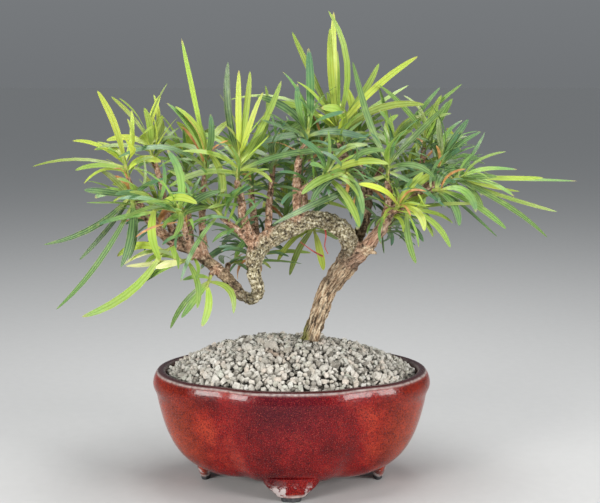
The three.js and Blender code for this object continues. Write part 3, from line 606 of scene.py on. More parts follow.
# The twig's points, its thickness at both ends, the run of the green stem, the age (0 young, 1 old),
# the side it faces (1 front, -1 back), how many blades fill it and their length, and then the blades
# that are seen one by one: the reach of each, its bow and its width.
sprayTable = {
    "left_1": [
        [(-117, -8, 229), (-131, -14, 243), (-140, -18, 254)], (3.4, 2.3), (-6, -3, 10), 0.5, 1, 3, 36,
        [(-73, -30, -98, -5, 5.5), (-12, -25, -60, 3, 6.5), (-4, -14, -54, 4, 6),
         (-48, 10, -56, -2, 4.5), (-79, -22, -43, -8, 6.5), (-40, -20, 5, 2, 6.5), (-25, 18, 22, 2, 7)]],
    "left_2": [
        [(-127, -12, 239), (-139, -12, 262), (-146, -14, 280)], (3, 2.2), (-2, -2, 14), 0.2, 1, 3, 34,
        [(-39, 20, -10, 8, 4), (-46, -16, 0, 4, 4.5), (-84, -8, 1, 8, 4), (-47, 25, 22, 7, 4),
         (-25, 12, 19, 5, 4.5), (-23, -10, 62, 2, 6)]],
    "left_3": [
        [(-114, -9, 227), (-121, -19, 237), (-123, -26, 246)], (3, 2.2), (2, -7, 8), 0.5, 1, 3, 44,
        [(-53, -5, -12, 2, 6), (4, -14, -48, -6, 8), (-24, -26, 12, 4, 6)]],
    "left_4": [
        [(-102, -8, 218), (-109, -17, 215)], (2.8, 2.2), (-7, -5, -3), 0.2, 1, 2, 34,
        [(-41, 10, -14, 3, 5), (-75, -14, -60, -8, 7.5)]],
    "left_5": [
        [(-84, -8, 211), (-91, -16, 206)], (2.8, 2.2), (-8, -4, -3), 0.2, 1, 2, 36,
        [(-41, -4, -21, 3, 6.5), (-27, -16, -7, 0, 6.5), (-51, -6, -4, 1, 6)]],
    "left_6": [
        [(-66, -9, 197), (-73, -16, 190)], (2.8, 2.2), (-3, -4, -8), 0.5, 1, 1, 32,
        [(-25, -12, -2, 2, 5), (-36, -2, -45, 4, 5), (-25, -14, -33, 2, 6.5), (-6, -18, -39, 3, 7)]],
    "left_7": [
        [(-60, -8, 190), (-58, 5, 196), (-56, 12, 201)], (2.8, 2.2), (7, 6, 4), 0.5, -1, 4, 38,
        [(64, 2, -1, 3, 5.5), (67, 12, 6, 3, 5.5)]],
    "left_8": [
        [(-79, -8, 208), (-80, -6, 240), (-79, -4, 268), (-77, -2, 284)],
        (3.3, 2.3), (1, -1, 15), 0.5, 1, 5, 46,
        [(-78, -24, 9, 14, 6.5), (5, -8, 44, 2, 6), (-34, -10, 50, 6, 7), (-20, 6, 102, -1, 4.5)]],
    "left_9": [
        [(-105, -6, 219), (-112, 4, 250), (-118, 6, 280), (-124, 4, 299)],
        (3, 2.2), (-2, 0, 12), 0.2, 1, 4, 38,
        [(-47, -14, 4, 4, 5.5), (-5, -14, 36, 2, 6), (12, -4, 26, 0, 6), (11, 10, 42, -3, 5.5)]],
    "left_10": [
        [(-96, -6, 217), (-104, 18, 232), (-116, 40, 246)], (2.8, 2.2), (-6, 8, 10), 0.5, -1, 8, 46,
        []],
    "left_11": [
        [(-90, -6, 216), (-92, 16, 244), (-94, 30, 268), (-95, 40, 286)],
        (2.8, 2.2), (-2, 6, 12), 0.2, -1, 8, 44,
        []],
    "left_12": [
        [(-88, -8, 214), (-95, -24, 229), (-98, -38, 243)], (2.8, 2.2), (-3, -8, 10), 0.5, 1, 5, 48,
        [(-58, -16, 14, 6, 6)]],
    "knot_1": [
        [(-35, -8, 222), (-43, -11, 243), (-45, -12, 258), (-48, -12, 277)],
        (4, 2.8), (2, 0, 22), 0.2, 1, 3, 48,
        [(-62, -18, -12, 6, 7), (30, -28, -10, 5, 6), (-50, -20, 16, 5, 6), (24, 12, 72, -12, 4.5),
         (38, -4, 74, -4, 6), (22, -14, 62, 3, 5), (-9, 8, 86, -5, 7), (10, -2, 76, 2, 5.5),
         (0, -10, 75, 0, 6)]],
    "knot_2": [
        [(-36, -8, 220), (-51, -14, 234), (-63, -17, 244)], (3.2, 2.2), (-6, -4, 9), 0.5, 1, 4, 46,
        [(-36, -8, -62, 3, 4.5), (-48, -22, -18, 5, 6)]],
    "knot_3": [
        [(-31, -4, 222), (-34, 24, 246), (-36, 44, 266), (-36, 60, 280)],
        (3.4, 2.3), (0, 6, 12), 0.5, -1, 8, 52,
        []],
    "knot_4": [
        [(-35, -5, 204), (-36, 14, 208), (-38, 26, 214)], (2.8, 2.2), (-4, 9, 6), 0.8, -1, 7, 42,
        []],
    "knot_5": [
        [(-21, -6, 224), (-20, 2, 252), (-18, 6, 274), (-16, 8, 290)],
        (3.2, 2.2), (1, 2, 12), 0.8, 1, 7, 52,
        []],
    "arch_1": [
        [(6, -8, 240), (5, -9, 268), (7, -9, 294), (13, -8, 311)], (4, 2.4), (3, 0, 14), 0.8, 1, 4, 50,
        [(-40, -10, 16, 2, 6), (-9, -16, 44, -4, 6), (-23, 8, 51, 5, 4), (-1, 6, 68, 1, 7.5)]],
    "arch_2": [
        [(5, -9, 264), (17, -13, 273), (27, -17, 279)], (2.8, 2.2), (6, -7, 4), 0.5, 1, 6, 50,
        []],
    "arch_3": [
        [(14, -8, 240), (18, 9, 243), (20, 18, 236)], (2.8, 2.2), (1, 5, -7), 0.2, -1, 3, 34,
        [(-22, 4, -44, 3, 6), (8, 4, -34, 2, 7)]],
    "arch_4": [
        [(12, -8, 241), (12, 24, 262), (8, 50, 282)], (3.2, 2.2), (0, 8, 10), 0.5, -1, 8, 54,
        []],
    "arch_5": [
        [(-4, -6, 233), (-5, 26, 240), (-5, 46, 248)], (2.8, 2.2), (0, 9, 5), 0.2, -1, 7, 48,
        []],
    "crown_1": [
        [(49, 8, 300), (43, 4, 311)], (2.9, 2.6), (-3, -2, 18), 0.2, 1, 2, 44,
        [(-91, -24, -16, 8, 8), (-16, -24, 24, 12, 9), (76, -14, 26, 9, 7), (-64, -14, 26, 9, 6),
         (-97, -4, 28, 16, 4.5), (62, 16, 40, 2, 4.5), (70, 2, 64, 5, 6), (36, 10, 57, -4, 6.5),
         (-36, -10, 40, 4, 5), (-40, 6, 82, 0, 5.5), (0, -22, 65, 1, 3.5), (-8, -14, 98, 13, 5.5),
         (-3, 10, 96, -1, 7.5), (-6, -4, 81, -2, 6)]],
    "crown_2": [
        [(67, 16, 262), (79, 20, 284), (88, 20, 301)], (3.2, 2.3), (2, 0, 11), 0.5, 1, 6, 44,
        [(62, -6, 58, 1, 4), (42, 6, 51, 1, 5), (-13, -12, 47, 0, 6)]],
    "crown_3": [
        [(62, 15, 280), (60, 38, 296), (57, 56, 308)], (2.8, 2.2), (0, 8, 10), 0.2, -1, 8, 48,
        []],
    "crown_4": [
        [(57, 12, 289), (52, -6, 289), (49, -17, 284)], (2.8, 2.2), (0, -9, 0), 0.8, 1, 3, 46,
        [(10, -12, -52, 5, 9), (-40, -20, -20, 5, 7)]],
    "crown_5": [
        [(67, 15, 249), (66, 38, 258), (64, 60, 266)], (2.8, 2.2), (0, 9, 6), 0.5, -1, 8, 54,
        []],
    "crown_6": [
        [(53, 10, 295), (36, 18, 300), (24, 26, 306)], (2.6, 2.2), (-6, 6, 8), 0.5, -1, 7, 48,
        []],
    "right_1": [
        [(86, -10, 245), (88, -12, 260), (86, -14, 277)], (4, 2.7), (0, 0, 16), 0.8, 1, 3, 48,
        [(-103, -26, -44, 3, 7.5), (53, -26, -32, 3, 6), (42, -16, -8, 8, 6), (50, -16, 52, 2, 6.5),
         (-32, -6, 88, -3, 8)]],
    "right_2": [
        [(86, -10, 245), (95, -16, 250), (102, -22, 250)], (3.4, 2.3), (7, -7, 1), 0.5, 1, 2, 36,
        [(9, -5, -49, -4, 6), (22, -13, -25, 3, 5.5), (36, -18, -35, 4, 5.5), (36, -4, -13, 3, 5)]],
    "right_3": [
        [(86, -10, 246), (100, -8, 263), (117, -4, 277), (131, -7, 288)],
        (4, 2.3), (3, 0, 11), 0.8, 1, 4, 38,
        [(19, -20, 14, 0, 6), (36, -8, 27, 2, 5.5), (24, -16, 36, 2, 6.5), (18, 6, 33, 7, 4),
         (-3, 4, 36, 0, 6)]],
    "right_4": [
        [(100, -8, 263), (116, -11, 269), (130, -13, 274), (142, -14, 277)],
        (3.2, 2.2), (11, -1, 2), 0.5, 1, 1, 36,
        [(27, 8, 42, -3, 3.5), (18, -16, -10, 2, 7.5), (37, -18, 2, 2, 6), (83, -16, -53, 4, 7.5),
         (51, -24, -16, 6, 4), (52, 14, 8, 4, 5), (88, 18, -30, -3, 4), (53, 4, -12, -1, 4.5),
         (73, -10, 0, 1, 4.5), (102, 6, -3, -1, 4)]],
    "right_5": [
        [(101, -8, 263), (114, -19, 266), (127, -27, 268)], (2.8, 2.2), (7, -6, 1), 0.8, 1, 3, 36,
        [(22, -12, -33, 7, 6.5), (55, 0, -43, 2, 4.5), (61, -14, -36, 3, 6), (43, -8, -24, 4, 6)]],
    "right_6": [
        [(84, -9, 243), (90, -20, 247), (93, -27, 251)], (2.8, 2.2), (3, -8, 4), 0.2, 1, 3, 42,
        [(24, -10, 32, 2, 6)]],
    "right_7": [
        [(112, -5, 273), (116, 3, 290), (118, 5, 306)], (2.8, 2.2), (1, 1, 13), 0.5, 1, 4, 36,
        [(24, -10, 40, 0, 6), (14, 8, 38, 2, 5), (-42, -6, 42, 2, 7.5)]],
    "right_8": [
        [(80, -7, 236), (90, 16, 252), (104, 38, 268)], (3.4, 2.3), (5, 8, 8), 0.2, -1, 8, 46,
        []],
    "right_9": [
        [(108, -7, 269), (121, 18, 276), (134, 44, 284)], (2.8, 2.2), (5, 9, 6), 0.5, -1, 8, 36,
        []],
    "right_10": [
        [(76, -6, 229), (84, 14, 232), (92, 28, 240)], (2.8, 2.2), (4, 9, 4), 0.8, -1, 7, 33,
        []],
}
sprayFields = ("twig", "thick", "stem", "age", "face", "fill", "length", "leaves")
sprays = {name: dict(zip(sprayFields, row)) for name, row in sprayTable.items()}


# Wood

# Each limb: points with their thickness, and its look. age: 0 young twig, 1 old rough bark.
# split: how far the bark's cracks run along it. tone: which bark colour it has.
limbs = {
    "trunk": {"age": 0.75, "split": 7, "tone": "tan", "points": [
        (10, 2, 96, 9.6), (13.5, 1, 118, 9.2), (17.2, 0.5, 133, 8.6), (23.3, 0, 151, 8.2),
        (27.6, 0, 163.5, 8.6), (32, 0, 176, 8.9), (40.5, 0, 188.5, 9.8), (49.6, 1, 201, 11.4),
        (55, 1, 212, 9.5)]},
    "arch": {"age": 1.0, "split": 1.3, "tone": "olive", "points": [
        (51, 0, 205, 9.5), (53, -2, 215, 9.2), (50, -5, 226.5, 8.8), (42.5, -8, 235, 8.4),
        (31, -10, 240, 8.4), (18, -10, 241, 7.8), (5, -8, 236.5, 8.4), (-13, -6, 227, 8.8),
        (-27, -6, 219, 9.8), (-33, -6, 208, 8.8), (-34.5, -6, 197, 6.8)]},
    "knee": {"age": 0.9, "split": 1.8, "tone": "olive", "points": [
        (-34.5, -6, 197, 6.8), (-33, -6, 187, 6.2), (-30, -6, 178, 6.2), (-32, -6.5, 171.5, 6),
        (-39, -7, 169, 5.6), (-49.5, -8.5, 176.5, 5.8)]},
    "leftLimb": {"age": 0.62, "split": 3, "tone": "grey", "points": [
        (-49.5, -8.5, 176.5, 5.8), (-60, -9, 189.5, 5.8), (-71, -8.5, 199.5, 5.6), (-79, -8, 206, 5.8),
        (-91, -7, 215, 5.8), (-104, -7, 219, 5.2), (-114, -8, 226, 4.6), (-120, -8, 232, 3.8)]},
    "crownLimb": {"age": 0.7, "split": 2, "tone": "grey", "points": [
        (51, 2, 206, 8), (62, 11, 231, 5.8), (68, 16, 256, 5), (63, 15, 279, 4.2), (52, 10, 296, 3.4),
        (48, 7, 303, 2.6)]},
    "rightLimb": {"age": 0.4, "split": 6, "tone": "flesh", "points": [
        (51, 0, 204, 9.4), (62, -3, 210.5, 7.6), (73, -6, 223, 6), (79, -8, 231, 5.5),
        (84, -10, 239.5, 5.2), (87, -10, 248, 4.6)]},
    "snag": {"age": 0.7, "split": 3, "tone": "tan", "points": [
        (65, -5, 215, 3.6), (73, -9, 212, 2.4), (77, -11, 210.5, 1.2)]},
}

bark = {
    "seed": 11,
    "step": 1.6,
    "grain": 0.92,  # size of the remeshing cells
    "collar": 0.3, "collarReach": 5,  # a twig is thicker where it leaves its limb
    "lumpHeight": 1.5, "crumbHeight": 0.5, "crackDepth": 1.4,
    "fullRelief": 7,  # thickness from which a limb has all of its relief
    "lumps": 0.16, "oldLumps": 0.33, "crumbs": 0.55,  # scales of the patterns
    "wander": (0.12, 1.2),  # scale and reach
    # cracks, fine then coarse: scale, sharpness, depth, which way they wander, and a shift
    "cracks": [(0.42, 5.5, 0.75, 1, (0, 0, 0)), (0.2, 6, 0.65, -1, (9, 4, 1))],
    "twigEnd": 2.5, "twigScale": 1.15,
    "twigLook": {"age": 0.18, "split": 2.5, "tone": "twig"},
    "nearby": 6, "blend": 1.5,  # guide points that a place on the bark takes its look from
    # round places with their reach: a healed scar, and dark places at the joints, where the knot's dark
    # bark carries painted shade in the forks
    "scar": (-88, -12, 216, 9),
    "dark": [(49, -4, 209, 13), (57, -4, 201, 8), (37, -2, 188, 10), (-46, -8, 172, 6)],
    "mossTop": (0.135, 0.17), "mossSide": (0.0125, 0.0175),  # metres, where it fades out
    "tones": ("tan", "olive", "grey", "flesh"),
}

# each tone's pattern, and its colours from the cracks to the ridges
barkColours = {
    "twig": ("mottle", [(0.36, (0.12, 0.06, 0.035)), (0.45, (0.36, 0.2, 0.12)),
                        (0.55, (0.56, 0.37, 0.25)), (0.66, (0.8, 0.66, 0.52))]),
    "tan": ("plates", [(0.34, (0.04, 0.025, 0.015)), (0.42, (0.3, 0.19, 0.11)),
                       (0.52, (0.58, 0.43, 0.28)), (0.65, (0.86, 0.74, 0.54))]),
    "olive": ("rind", [(0.35, (0.02, 0.016, 0.009)), (0.43, (0.22, 0.18, 0.1)),
                       (0.51, (0.47, 0.41, 0.25)), (0.62, (0.86, 0.81, 0.64))]),
    "grey": ("mottle", [(0.36, (0.025, 0.018, 0.01)), (0.46, (0.17, 0.12, 0.07)),
                        (0.56, (0.38, 0.28, 0.17)), (0.68, (0.66, 0.55, 0.4))]),
    "flesh": ("plates", [(0.34, (0.16, 0.08, 0.05)), (0.46, (0.44, 0.26, 0.17)),
                         (0.57, (0.62, 0.42, 0.3)), (0.7, (0.84, 0.68, 0.54))]),
    # knot: dark bark of the knot, also painted as the shade in the forks and joints
    "knot": ("speckle", [(0.42, (0.012, 0.008, 0.006)), (0.54, (0.11, 0.07, 0.045)),
                         (0.66, (0.3, 0.22, 0.15))]),
    # groove: the cracks' own dark colour, deepened as painted shade in the fissures
    "shade": (0.08, 0.058, 0.035), "moss": (0.2, 0.24, 0.035), "groove": (0.02, 0.012, 0.008),
}


def throughPoints(stations, step):
    # points and thicknesses along a smooth centripetal line through the stations
    spots = [sighted(s) for s in stations]
    spots = [2 * spots[0] - spots[1], *spots, 2 * spots[-1] - spots[-2]]
    made = []
    for n in range(len(stations) - 1):
        p0, p1, p2, p3 = spots[n:n + 4]
        gaps = [max((b - a).length ** 0.5, 1e-4) for a, b in ((p0, p1), (p1, p2), (p2, p3))]
        start = ((p1 - p0) / gaps[0] - (p2 - p0) / (gaps[0] + gaps[1]) + (p2 - p1) / gaps[1]) * gaps[1]
        end = ((p2 - p1) / gaps[1] - (p3 - p1) / (gaps[1] + gaps[2]) + (p3 - p2) / gaps[2]) * gaps[1]
        count = max(1, round((p2 - p1).length / step))
        for k in range(count + (n == len(stations) - 2)):
            t = k / count
            spot = p1 + start * t + (3 * (p2 - p1) - 2 * start - end) * t * t
            spot += (2 * (p1 - p2) + start + end) * t ** 3
            thick = stations[n][3] + (stations[n + 1][3] - stations[n][3]) * t
            made.append((spot, thick))
    return made


def twigStations(spray):
    start, end = spray["thick"]
    last = len(spray["twig"]) - 1
    stations = [(*spot, start + (end - start) * n / last) for n, spot in enumerate(spray["twig"])]
    run = Vector(spray["stem"]).normalized()
    turn = Vector(spray["twig"][last]) - run * bark["twigEnd"]
    stations.insert(last, (*turn, end))
    return stations


def woodLines():
    # every limb and twig as (points with thickness, look)
    lines = []
    for limb in limbs.values():
        lines.append((throughPoints(limb["points"], bark["step"]), limb))
    for spray in sprays.values():
        points = throughPoints(twigStations(spray), bark["step"])
        lines.append(([(spot, thick * bark["twigScale"]) for spot, thick in points], bark["twigLook"]))
    return lines


def bareWood(lines):
    # all limbs as round bars, then one closed skin over them
    bars = []
    for points, look in lines:
        if look is bark["twigLook"]:
            far = [n * bark["step"] / bark["collarReach"] for n in range(len(points))]
            points = [(spot, thick * (1 + bark["collar"] * math.exp(-(away ** 2))))
                      for away, (spot, thick) in zip(far, points)]
        bars.append(points)
    wood = roundBars(bars, 4)
    skin = wood.modifiers.new("skin", "REMESH")
    skin.mode = "VOXEL"
    skin.voxel_size = bark["grain"] * mm
    applyModifiers(wood)
    return wood


def lineGuide(lines):
    # a search tree of places on the limbs: where each is, which way it runs and how it looks
    guide, facts = KDTree(sum(len(points) for points, _ in lines)), []
    for points, look in lines:
        travelled = 0
        for n, (spot, thick) in enumerate(points):
            before, after = points[max(0, n - 1)][0], points[min(len(points) - 1, n + 1)][0]
            run = (after - before).normalized()
            guide.insert(spot, len(facts))
            facts.append((spot, run, thick, travelled, look))
            travelled += bark["step"]
    guide.balance()
    return guide, facts


def nearness(here, spot):
    # 1 at the middle of a round place, fading outwards
    return math.exp(-((here - Vector(spot[:3])).length / spot[3]) ** 2)


def barkRelief(wood, lines):
    guide, facts = lineGuide(lines)
    noise.seed_set(bark["seed"])  # noise_vector starts from it, so that each run gives the same cracks
    wanderScale, wanderReach = bark["wander"]
    layers = {name: [] for name in ("age", "groove", "knot", "barkX", "barkY", "barkZ", *bark["tones"])}
    rises = []
    for vertex in wood.data.vertices:
        here = vertex.co / mm
        found = guide.find_n(here, bark["nearby"])
        middle, run, thick, travelled, look = facts[found[0][1]]
        off = here - middle
        along = travelled + off.dot(run)
        side = off - run * off.dot(run)
        frameSide = run.orthogonal().normalized()
        # cracks follow the limb, so the pattern is drawn out along it
        drawn = Vector((side.dot(frameSide), side.dot(run.cross(frameSide)), along / look["split"]))
        looks = [facts[n][4] for _, n, _ in found]
        shares = [math.exp(-(distance - found[0][2]) / bark["blend"]) for _, _, distance in found]
        total = sum(shares)
        old = sum(share * each["age"] for share, each in zip(shares, looks)) / total
        healed = nearness(here, bark["scar"])
        wander = noise.noise_vector(here * wanderScale) * wanderReach
        crack = 0
        for scale, sharp, depth, way, shift in bark["cracks"]:
            valley = abs(noise.noise((drawn + wander * way) * scale + Vector(shift)))
            crack += max(0, 1 - valley * sharp) * depth
        crumb = noise.turbulence(here * bark["crumbs"], 3, False)
        lump = noise.noise(here * bark["lumps"] + Vector((2, 7, 5)))
        lump += 0.6 * old * noise.noise(here * bark["oldLumps"])
        size = min(1, thick / bark["fullRelief"])
        rise = bark["lumpHeight"] * lump * size
        rise += bark["crumbHeight"] * (crumb - 0.5) * (0.35 + 0.65 * old)
        rise -= bark["crackDepth"] * crack * size * (0.25 + 0.75 * old) * (1 - 0.8 * healed)
        rises.append(rise)
        layers["age"].append(old)
        layers["groove"].append(min(1, crack * (1 - 0.6 * healed)))
        layers["knot"].append(max(nearness(here, spot) for spot in bark["dark"]))
        for name, value in zip(("barkX", "barkY", "barkZ"), drawn):
            layers[name].append(value)
        for tone in bark["tones"]:
            share = sum(share for share, each in zip(shares, looks) if each["tone"] == tone) / total
            layers[tone].append(share)
        layers["flesh"][-1] = min(1, layers["flesh"][-1] + 0.5 * healed)
    spots = np.empty(len(rises) * 3)
    normals = np.empty(len(rises) * 3)
    wood.data.vertices.foreach_get("co", spots)
    wood.data.vertices.foreach_get("normal", normals)
    wood.data.vertices.foreach_set("co", spots + normals * np.repeat(rises, 3) * mm)
    wood.data.update()
    for name, values in layers.items():
        pointAttribute(wood, name, values)


def makeWood():
    lines = woodLines()
    wood = bareWood(lines)
    barkRelief(wood, lines)
    wood.data.transform(Matrix.Translation(potMiddle))
    wood.data.materials.clear()
    wood.data.materials.append(barkMaterial())
    activate(wood)
    bpy.ops.object.shade_smooth()
    return wood


def barkMaterial():
    n = Nodes("pine_bark")
    here = n.where()
    drawn = n.add("CombineXYZ", {"X": n.attribute("barkX"), "Y": n.attribute("barkY"),
                                 "Z": n.attribute("barkZ")}).outputs[0]
    patterns = {
        "mottle": n.noise(here, 330, detail=5, rough=0.72),
        "speckle": n.noise(here, 620, detail=4, rough=0.75),
        "plates": n.noise(drawn, 0.5, detail=5, rough=0.68),
        "rind": n.noise(here, 430, detail=6, rough=0.66),
    }

    def painted(name):
        source, stops = barkColours[name]
        return n.ramp(patterns[source], stops)

    tone = painted("twig")
    for name in bark["tones"]:
        tone = n.mix(n.attribute(name), tone, painted(name))
    shade = n.span(n.noise(here, 120, detail=4, rough=0.6), 0.4, 0.55, 0.55, 0)
    tone = n.mix(n.times(shade, n.attribute("age")), tone, barkColours["shade"])
    # darker at the forks and joints: knot bark and painted shade
    tone = n.mix(n.times(n.attribute("knot"), 0.9), tone, painted("knot"))
    split = n.add("SeparateXYZ", {"Vector": here}).outputs
    near, far = bark["mossSide"]
    foot = n.span(split["Z"], *bark["mossTop"], 0.75, 0)
    leftSide = n.span(split["X"], potMiddle.x + near, potMiddle.x + far, 1, 0)
    tone = n.mix(n.times(foot, leftSide), tone, barkColours["moss"])
    # darker in the cracks: bark colour and painted shade in the fissures
    tone = n.mix(n.span(n.attribute("groove"), 0.2, 0.9, 0, 0.9), tone, barkColours["groove"])
    relief = n.bump(patterns["plates"], 0.55, 0.0012)
    relief = n.bump(patterns["rind"], 0.8, 0.0018, relief)
    relief = n.bump(patterns["speckle"], 0.6, 0.0008, relief)
    return n.finish(tone, 0.88, relief, Specular_IOR_Level=0.25)


wood = makeWood()
settle(wood, "wood_bark", "bark", "wood")
print("wood", len(wood.data.polygons), "faces")


# Leaves

blade = {
    "rows": [0, 0.05, 0.13, 0.25, 0.39, 0.54, 0.7, 0.83, 0.92, 0.97, 1],
    "widths": [0.3, 0.45, 0.65, 0.85, 0.96, 1, 0.93, 0.78, 0.55, 0.34, 0],
    # midrib, left top, left edge, keel, right edge, right top: across, and height in millimetres
    "section": [(0, -0.12), (-0.25, 0.08), (-0.5, 0), (0, -0.45), (0.5, 0), (0.25, 0.08)],
    "goldenAngle": 137.5, "droop": 0.12,
    "depthMoves": [0, -6, 6, -12, 12, -18, 18, -25, 25, -32, 32, -40, 40],
    "turnMoves": [0, 9, -9, 18, -18, 28, -28, 40, -40, 54, -54],
    "match": 0.5,  # how near a blade's tip must be to the solid's
}

growth = {
    "extra": 20,  # small leaves that each spray has between its blades
    "behindExtra": 46,  # and a spray that faces the back
    "sparse": {"arch_3": 0, "left_3": 4, "left_4": 2, "left_5": 2, "left_6": 0, "left_7": 0, "right_2": 5,
               "right_5": 7, "left_1": 8, "left_2": 9},
    "below": 28,  # how far down the twig they grow
    "onStem": 0.6,  # how many grow on the stem for each on the twig
    "length": (22, 52), "width": (2.1, 4.2), "bow": (1, 7), "twist": 60,
    "spread": (88, 58, 14),  # degrees off the stem at its foot, how much less at its top, and scatter
    "turnScatter": 25, "rise": (-0.25, 0.2),
    "wave": (1.6, 0.8),  # how far a blade wanders sideways, and up and down
    "ageScatter": 0.25, "dryShare": 0.06,
    "cream": {"left_4": (0,), "left_5": (1, 2)},  # bleached blades, by their number in the table
    # blades that are older or younger than their spray, by their number in the table
    "bladeAges": {
        "left_1": {0: 0.7, 1: 0.85, 2: 0.75, 3: 0.9, 4: 1, 5: 0.95}, "left_3": {0: 0.6, 1: 0.2},
        "left_4": {1: 0.33}, "left_6": {2: 0.5, 3: 0.3}, "left_8": {0: 0.85, 3: 0.25},
        "left_12": {0: 0.7}, "knot_1": {0: 0.35, 6: 0.85}, "crown_1": {0: 0.75},
        "right_4": {3: 0.6, 9: 0.45}, "right_2": {0: 0.45, 2: 0.35}},
    # blades of the front view that stand among the others: root, tip, bow, width, age, dry
    "added": {
        "knot_2": [((-58.5, -22, 268), (-110.6, -26, 250.9), 3, 6.5, 1, 0)],
        "knot_1": [((-47.6, -14, 285), (45, -24, 303.7), 5, 6, 0.8, 0)],
        "left_3": [((-137.6, -16, 248.2), (-165.6, -20, 241.8), -2, 5, 0, 1),
                   ((-119.8, -16, 240.9), (-107.8, -20, 256.3), 1, 4.5, 0, 1),
                   ((-123.6, -18, 231.9), (-110.6, -22, 252.7), 1, 3.4, 0, 1)]},
}

stem = {
    "sides": 8,
    "rows": [0, 0.3, 0.65, 0.95, 1.04, 1.12, 1.24, 1.34],
    "widths": [1.75, 1.6, 1.55, 1.35, 1.5, 1.35, 0.75, 0],
    "sunk": 2.2,  # how deep it starts in its twig
}

leafColours = {
    "ages": [(0.0, (0.40, 0.46, 0.03)), (0.25, (0.27, 0.38, 0.03)), (0.5, (0.14, 0.27, 0.03)),
             (0.75, (0.045, 0.14, 0.035)), (1.0, (0.016, 0.065, 0.03))],
    "blotch": (0.42, 0.55, 0.1), "bloom": (0.17, 0.33, 0.18), "band": (0.42, 0.62, 0.2),
    "midrib": (0.1, 0.22, 0.04), "margin": (0.5, 0.62, 0.22), "outer": (0.06, 0.16, 0.11),
    "base": (0.5, 0.58, 0.12), "tip": (0.42, 0.3, 0.12),
    "dry": [(0.3, (0.35, 0.12, 0.04)), (0.65, (0.6, 0.33, 0.12))],
    "bleached": [(0.35, (0.52, 0.62, 0.2)), (0.6, (0.84, 0.83, 0.42))],
    "stem": [(0.3, (0.16, 0.24, 0.04)), (0.55, (0.36, 0.42, 0.08)), (0.7, (0.45, 0.33, 0.12))],
}


def evenDraws(seed):
    # the same stream of draws that places the blades in the solids
    state = 90001 * seed + 17

    def draw():
        nonlocal state
        state = state * 16807 % 2147483647
        return state / 2147483647

    draw()
    draw()
    return draw


def bladeShare(t):
    # width along a blade, 1 at its widest
    return float(np.interp(t, blade["rows"], blade["widths"]))


def turnedVector(vector, axis, degrees):
    return Quaternion(axis, math.radians(degrees)) @ vector


def stemEnds(spray):
    run = Vector(spray["stem"]).normalized()
    base = sighted(spray["twig"][-1]) + run * 0.3
    return base, base + Vector(spray["stem"])


def reachTo(root, spray, along, tip):
    # from a root to a tip that is read off the front view, as seen from where the root was read
    read = Vector(spray["twig"][-1]) + Vector(spray["stem"]) * along
    return sighted(read + Vector(tip)) - root


def chosenBlades(spray):
    base, top = stemEnds(spray)
    blades = []
    for k, (x, y, z, bow, width) in enumerate(spray["leaves"]):
        along = 0.25 + 0.75 * k / max(1, len(spray["leaves"]) - 1)
        root = base.lerp(top, along)
        places = [reachTo(root, spray, along, (x, y + depth, z)) for depth in blade["depthMoves"]]
        blades.append({
            "root": root, "reach": places[0], "places": places, "bow": bow, "width": width,
            "facing": Vector((0.2, -0.75 * spray["face"], 0.62)).normalized(),
            "twist": 22 if k % 2 == 0 else -22, "along": along, "number": k})
    return blades


def fillBlades(spray, seed):
    # the rule that fills a spray in the solids; its numbers are theirs too
    base, top = stemEnds(spray)
    run = (top - base).normalized()
    side = Vector((1, 0, 0))
    side = (side - run * run.x).normalized()
    draw = evenDraws(seed)
    blades = []
    for k in range(spray["fill"]):
        share = (k + 0.5) / spray["fill"]
        turn = blade["goldenAngle"] * k + 40 * draw()
        spread = math.radians(84 - 52 * share + 14 * (draw() - 0.5))
        length = spray["length"] * (0.85 + 0.45 * draw())
        away = turnedVector(side, run, turn)
        reach = run * math.cos(spread) + away * math.sin(spread)
        reach.z -= blade["droop"]
        blades.append({
            "root": base.lerp(top, 0.2 + 0.75 * share), "reach": reach * length,
            "bow": 3 + 6 * draw(), "width": 5.4 + 2.4 * draw(),
            "facing": away * -0.3 + Vector((0, -0.6 * spray["face"], 0.6)),
            "twist": 70 * (draw() - 0.5), "axis": run, "along": share})
    return blades


def movedBlades(leaf):
    if "axis" in leaf:
        for angle in blade["turnMoves"]:
            yield {**leaf, "reach": turnedVector(leaf["reach"], leaf["axis"], angle),
                   "facing": turnedVector(leaf["facing"], leaf["axis"], angle)}
    else:
        for reach in leaf["places"]:
            yield {**leaf, "reach": reach}


def asInSolid(leaves, tips):
    # each blade in the place that the solid gives it; one that the solid lacks is left out
    kept = []
    for leaf in leaves:
        for candidate in movedBlades(leaf):
            if tips.find(candidate["root"] + candidate["reach"])[2] < blade["match"]:
                kept.append(candidate)
                break
    return kept


def solidTips(name):
    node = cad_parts["spray_" + name]
    tips = KDTree(len(node.data.vertices))
    for n, vertex in enumerate(node.data.vertices):
        tips.insert((vertex.co - potMiddle) / mm, n)
    tips.balance()
    return tips


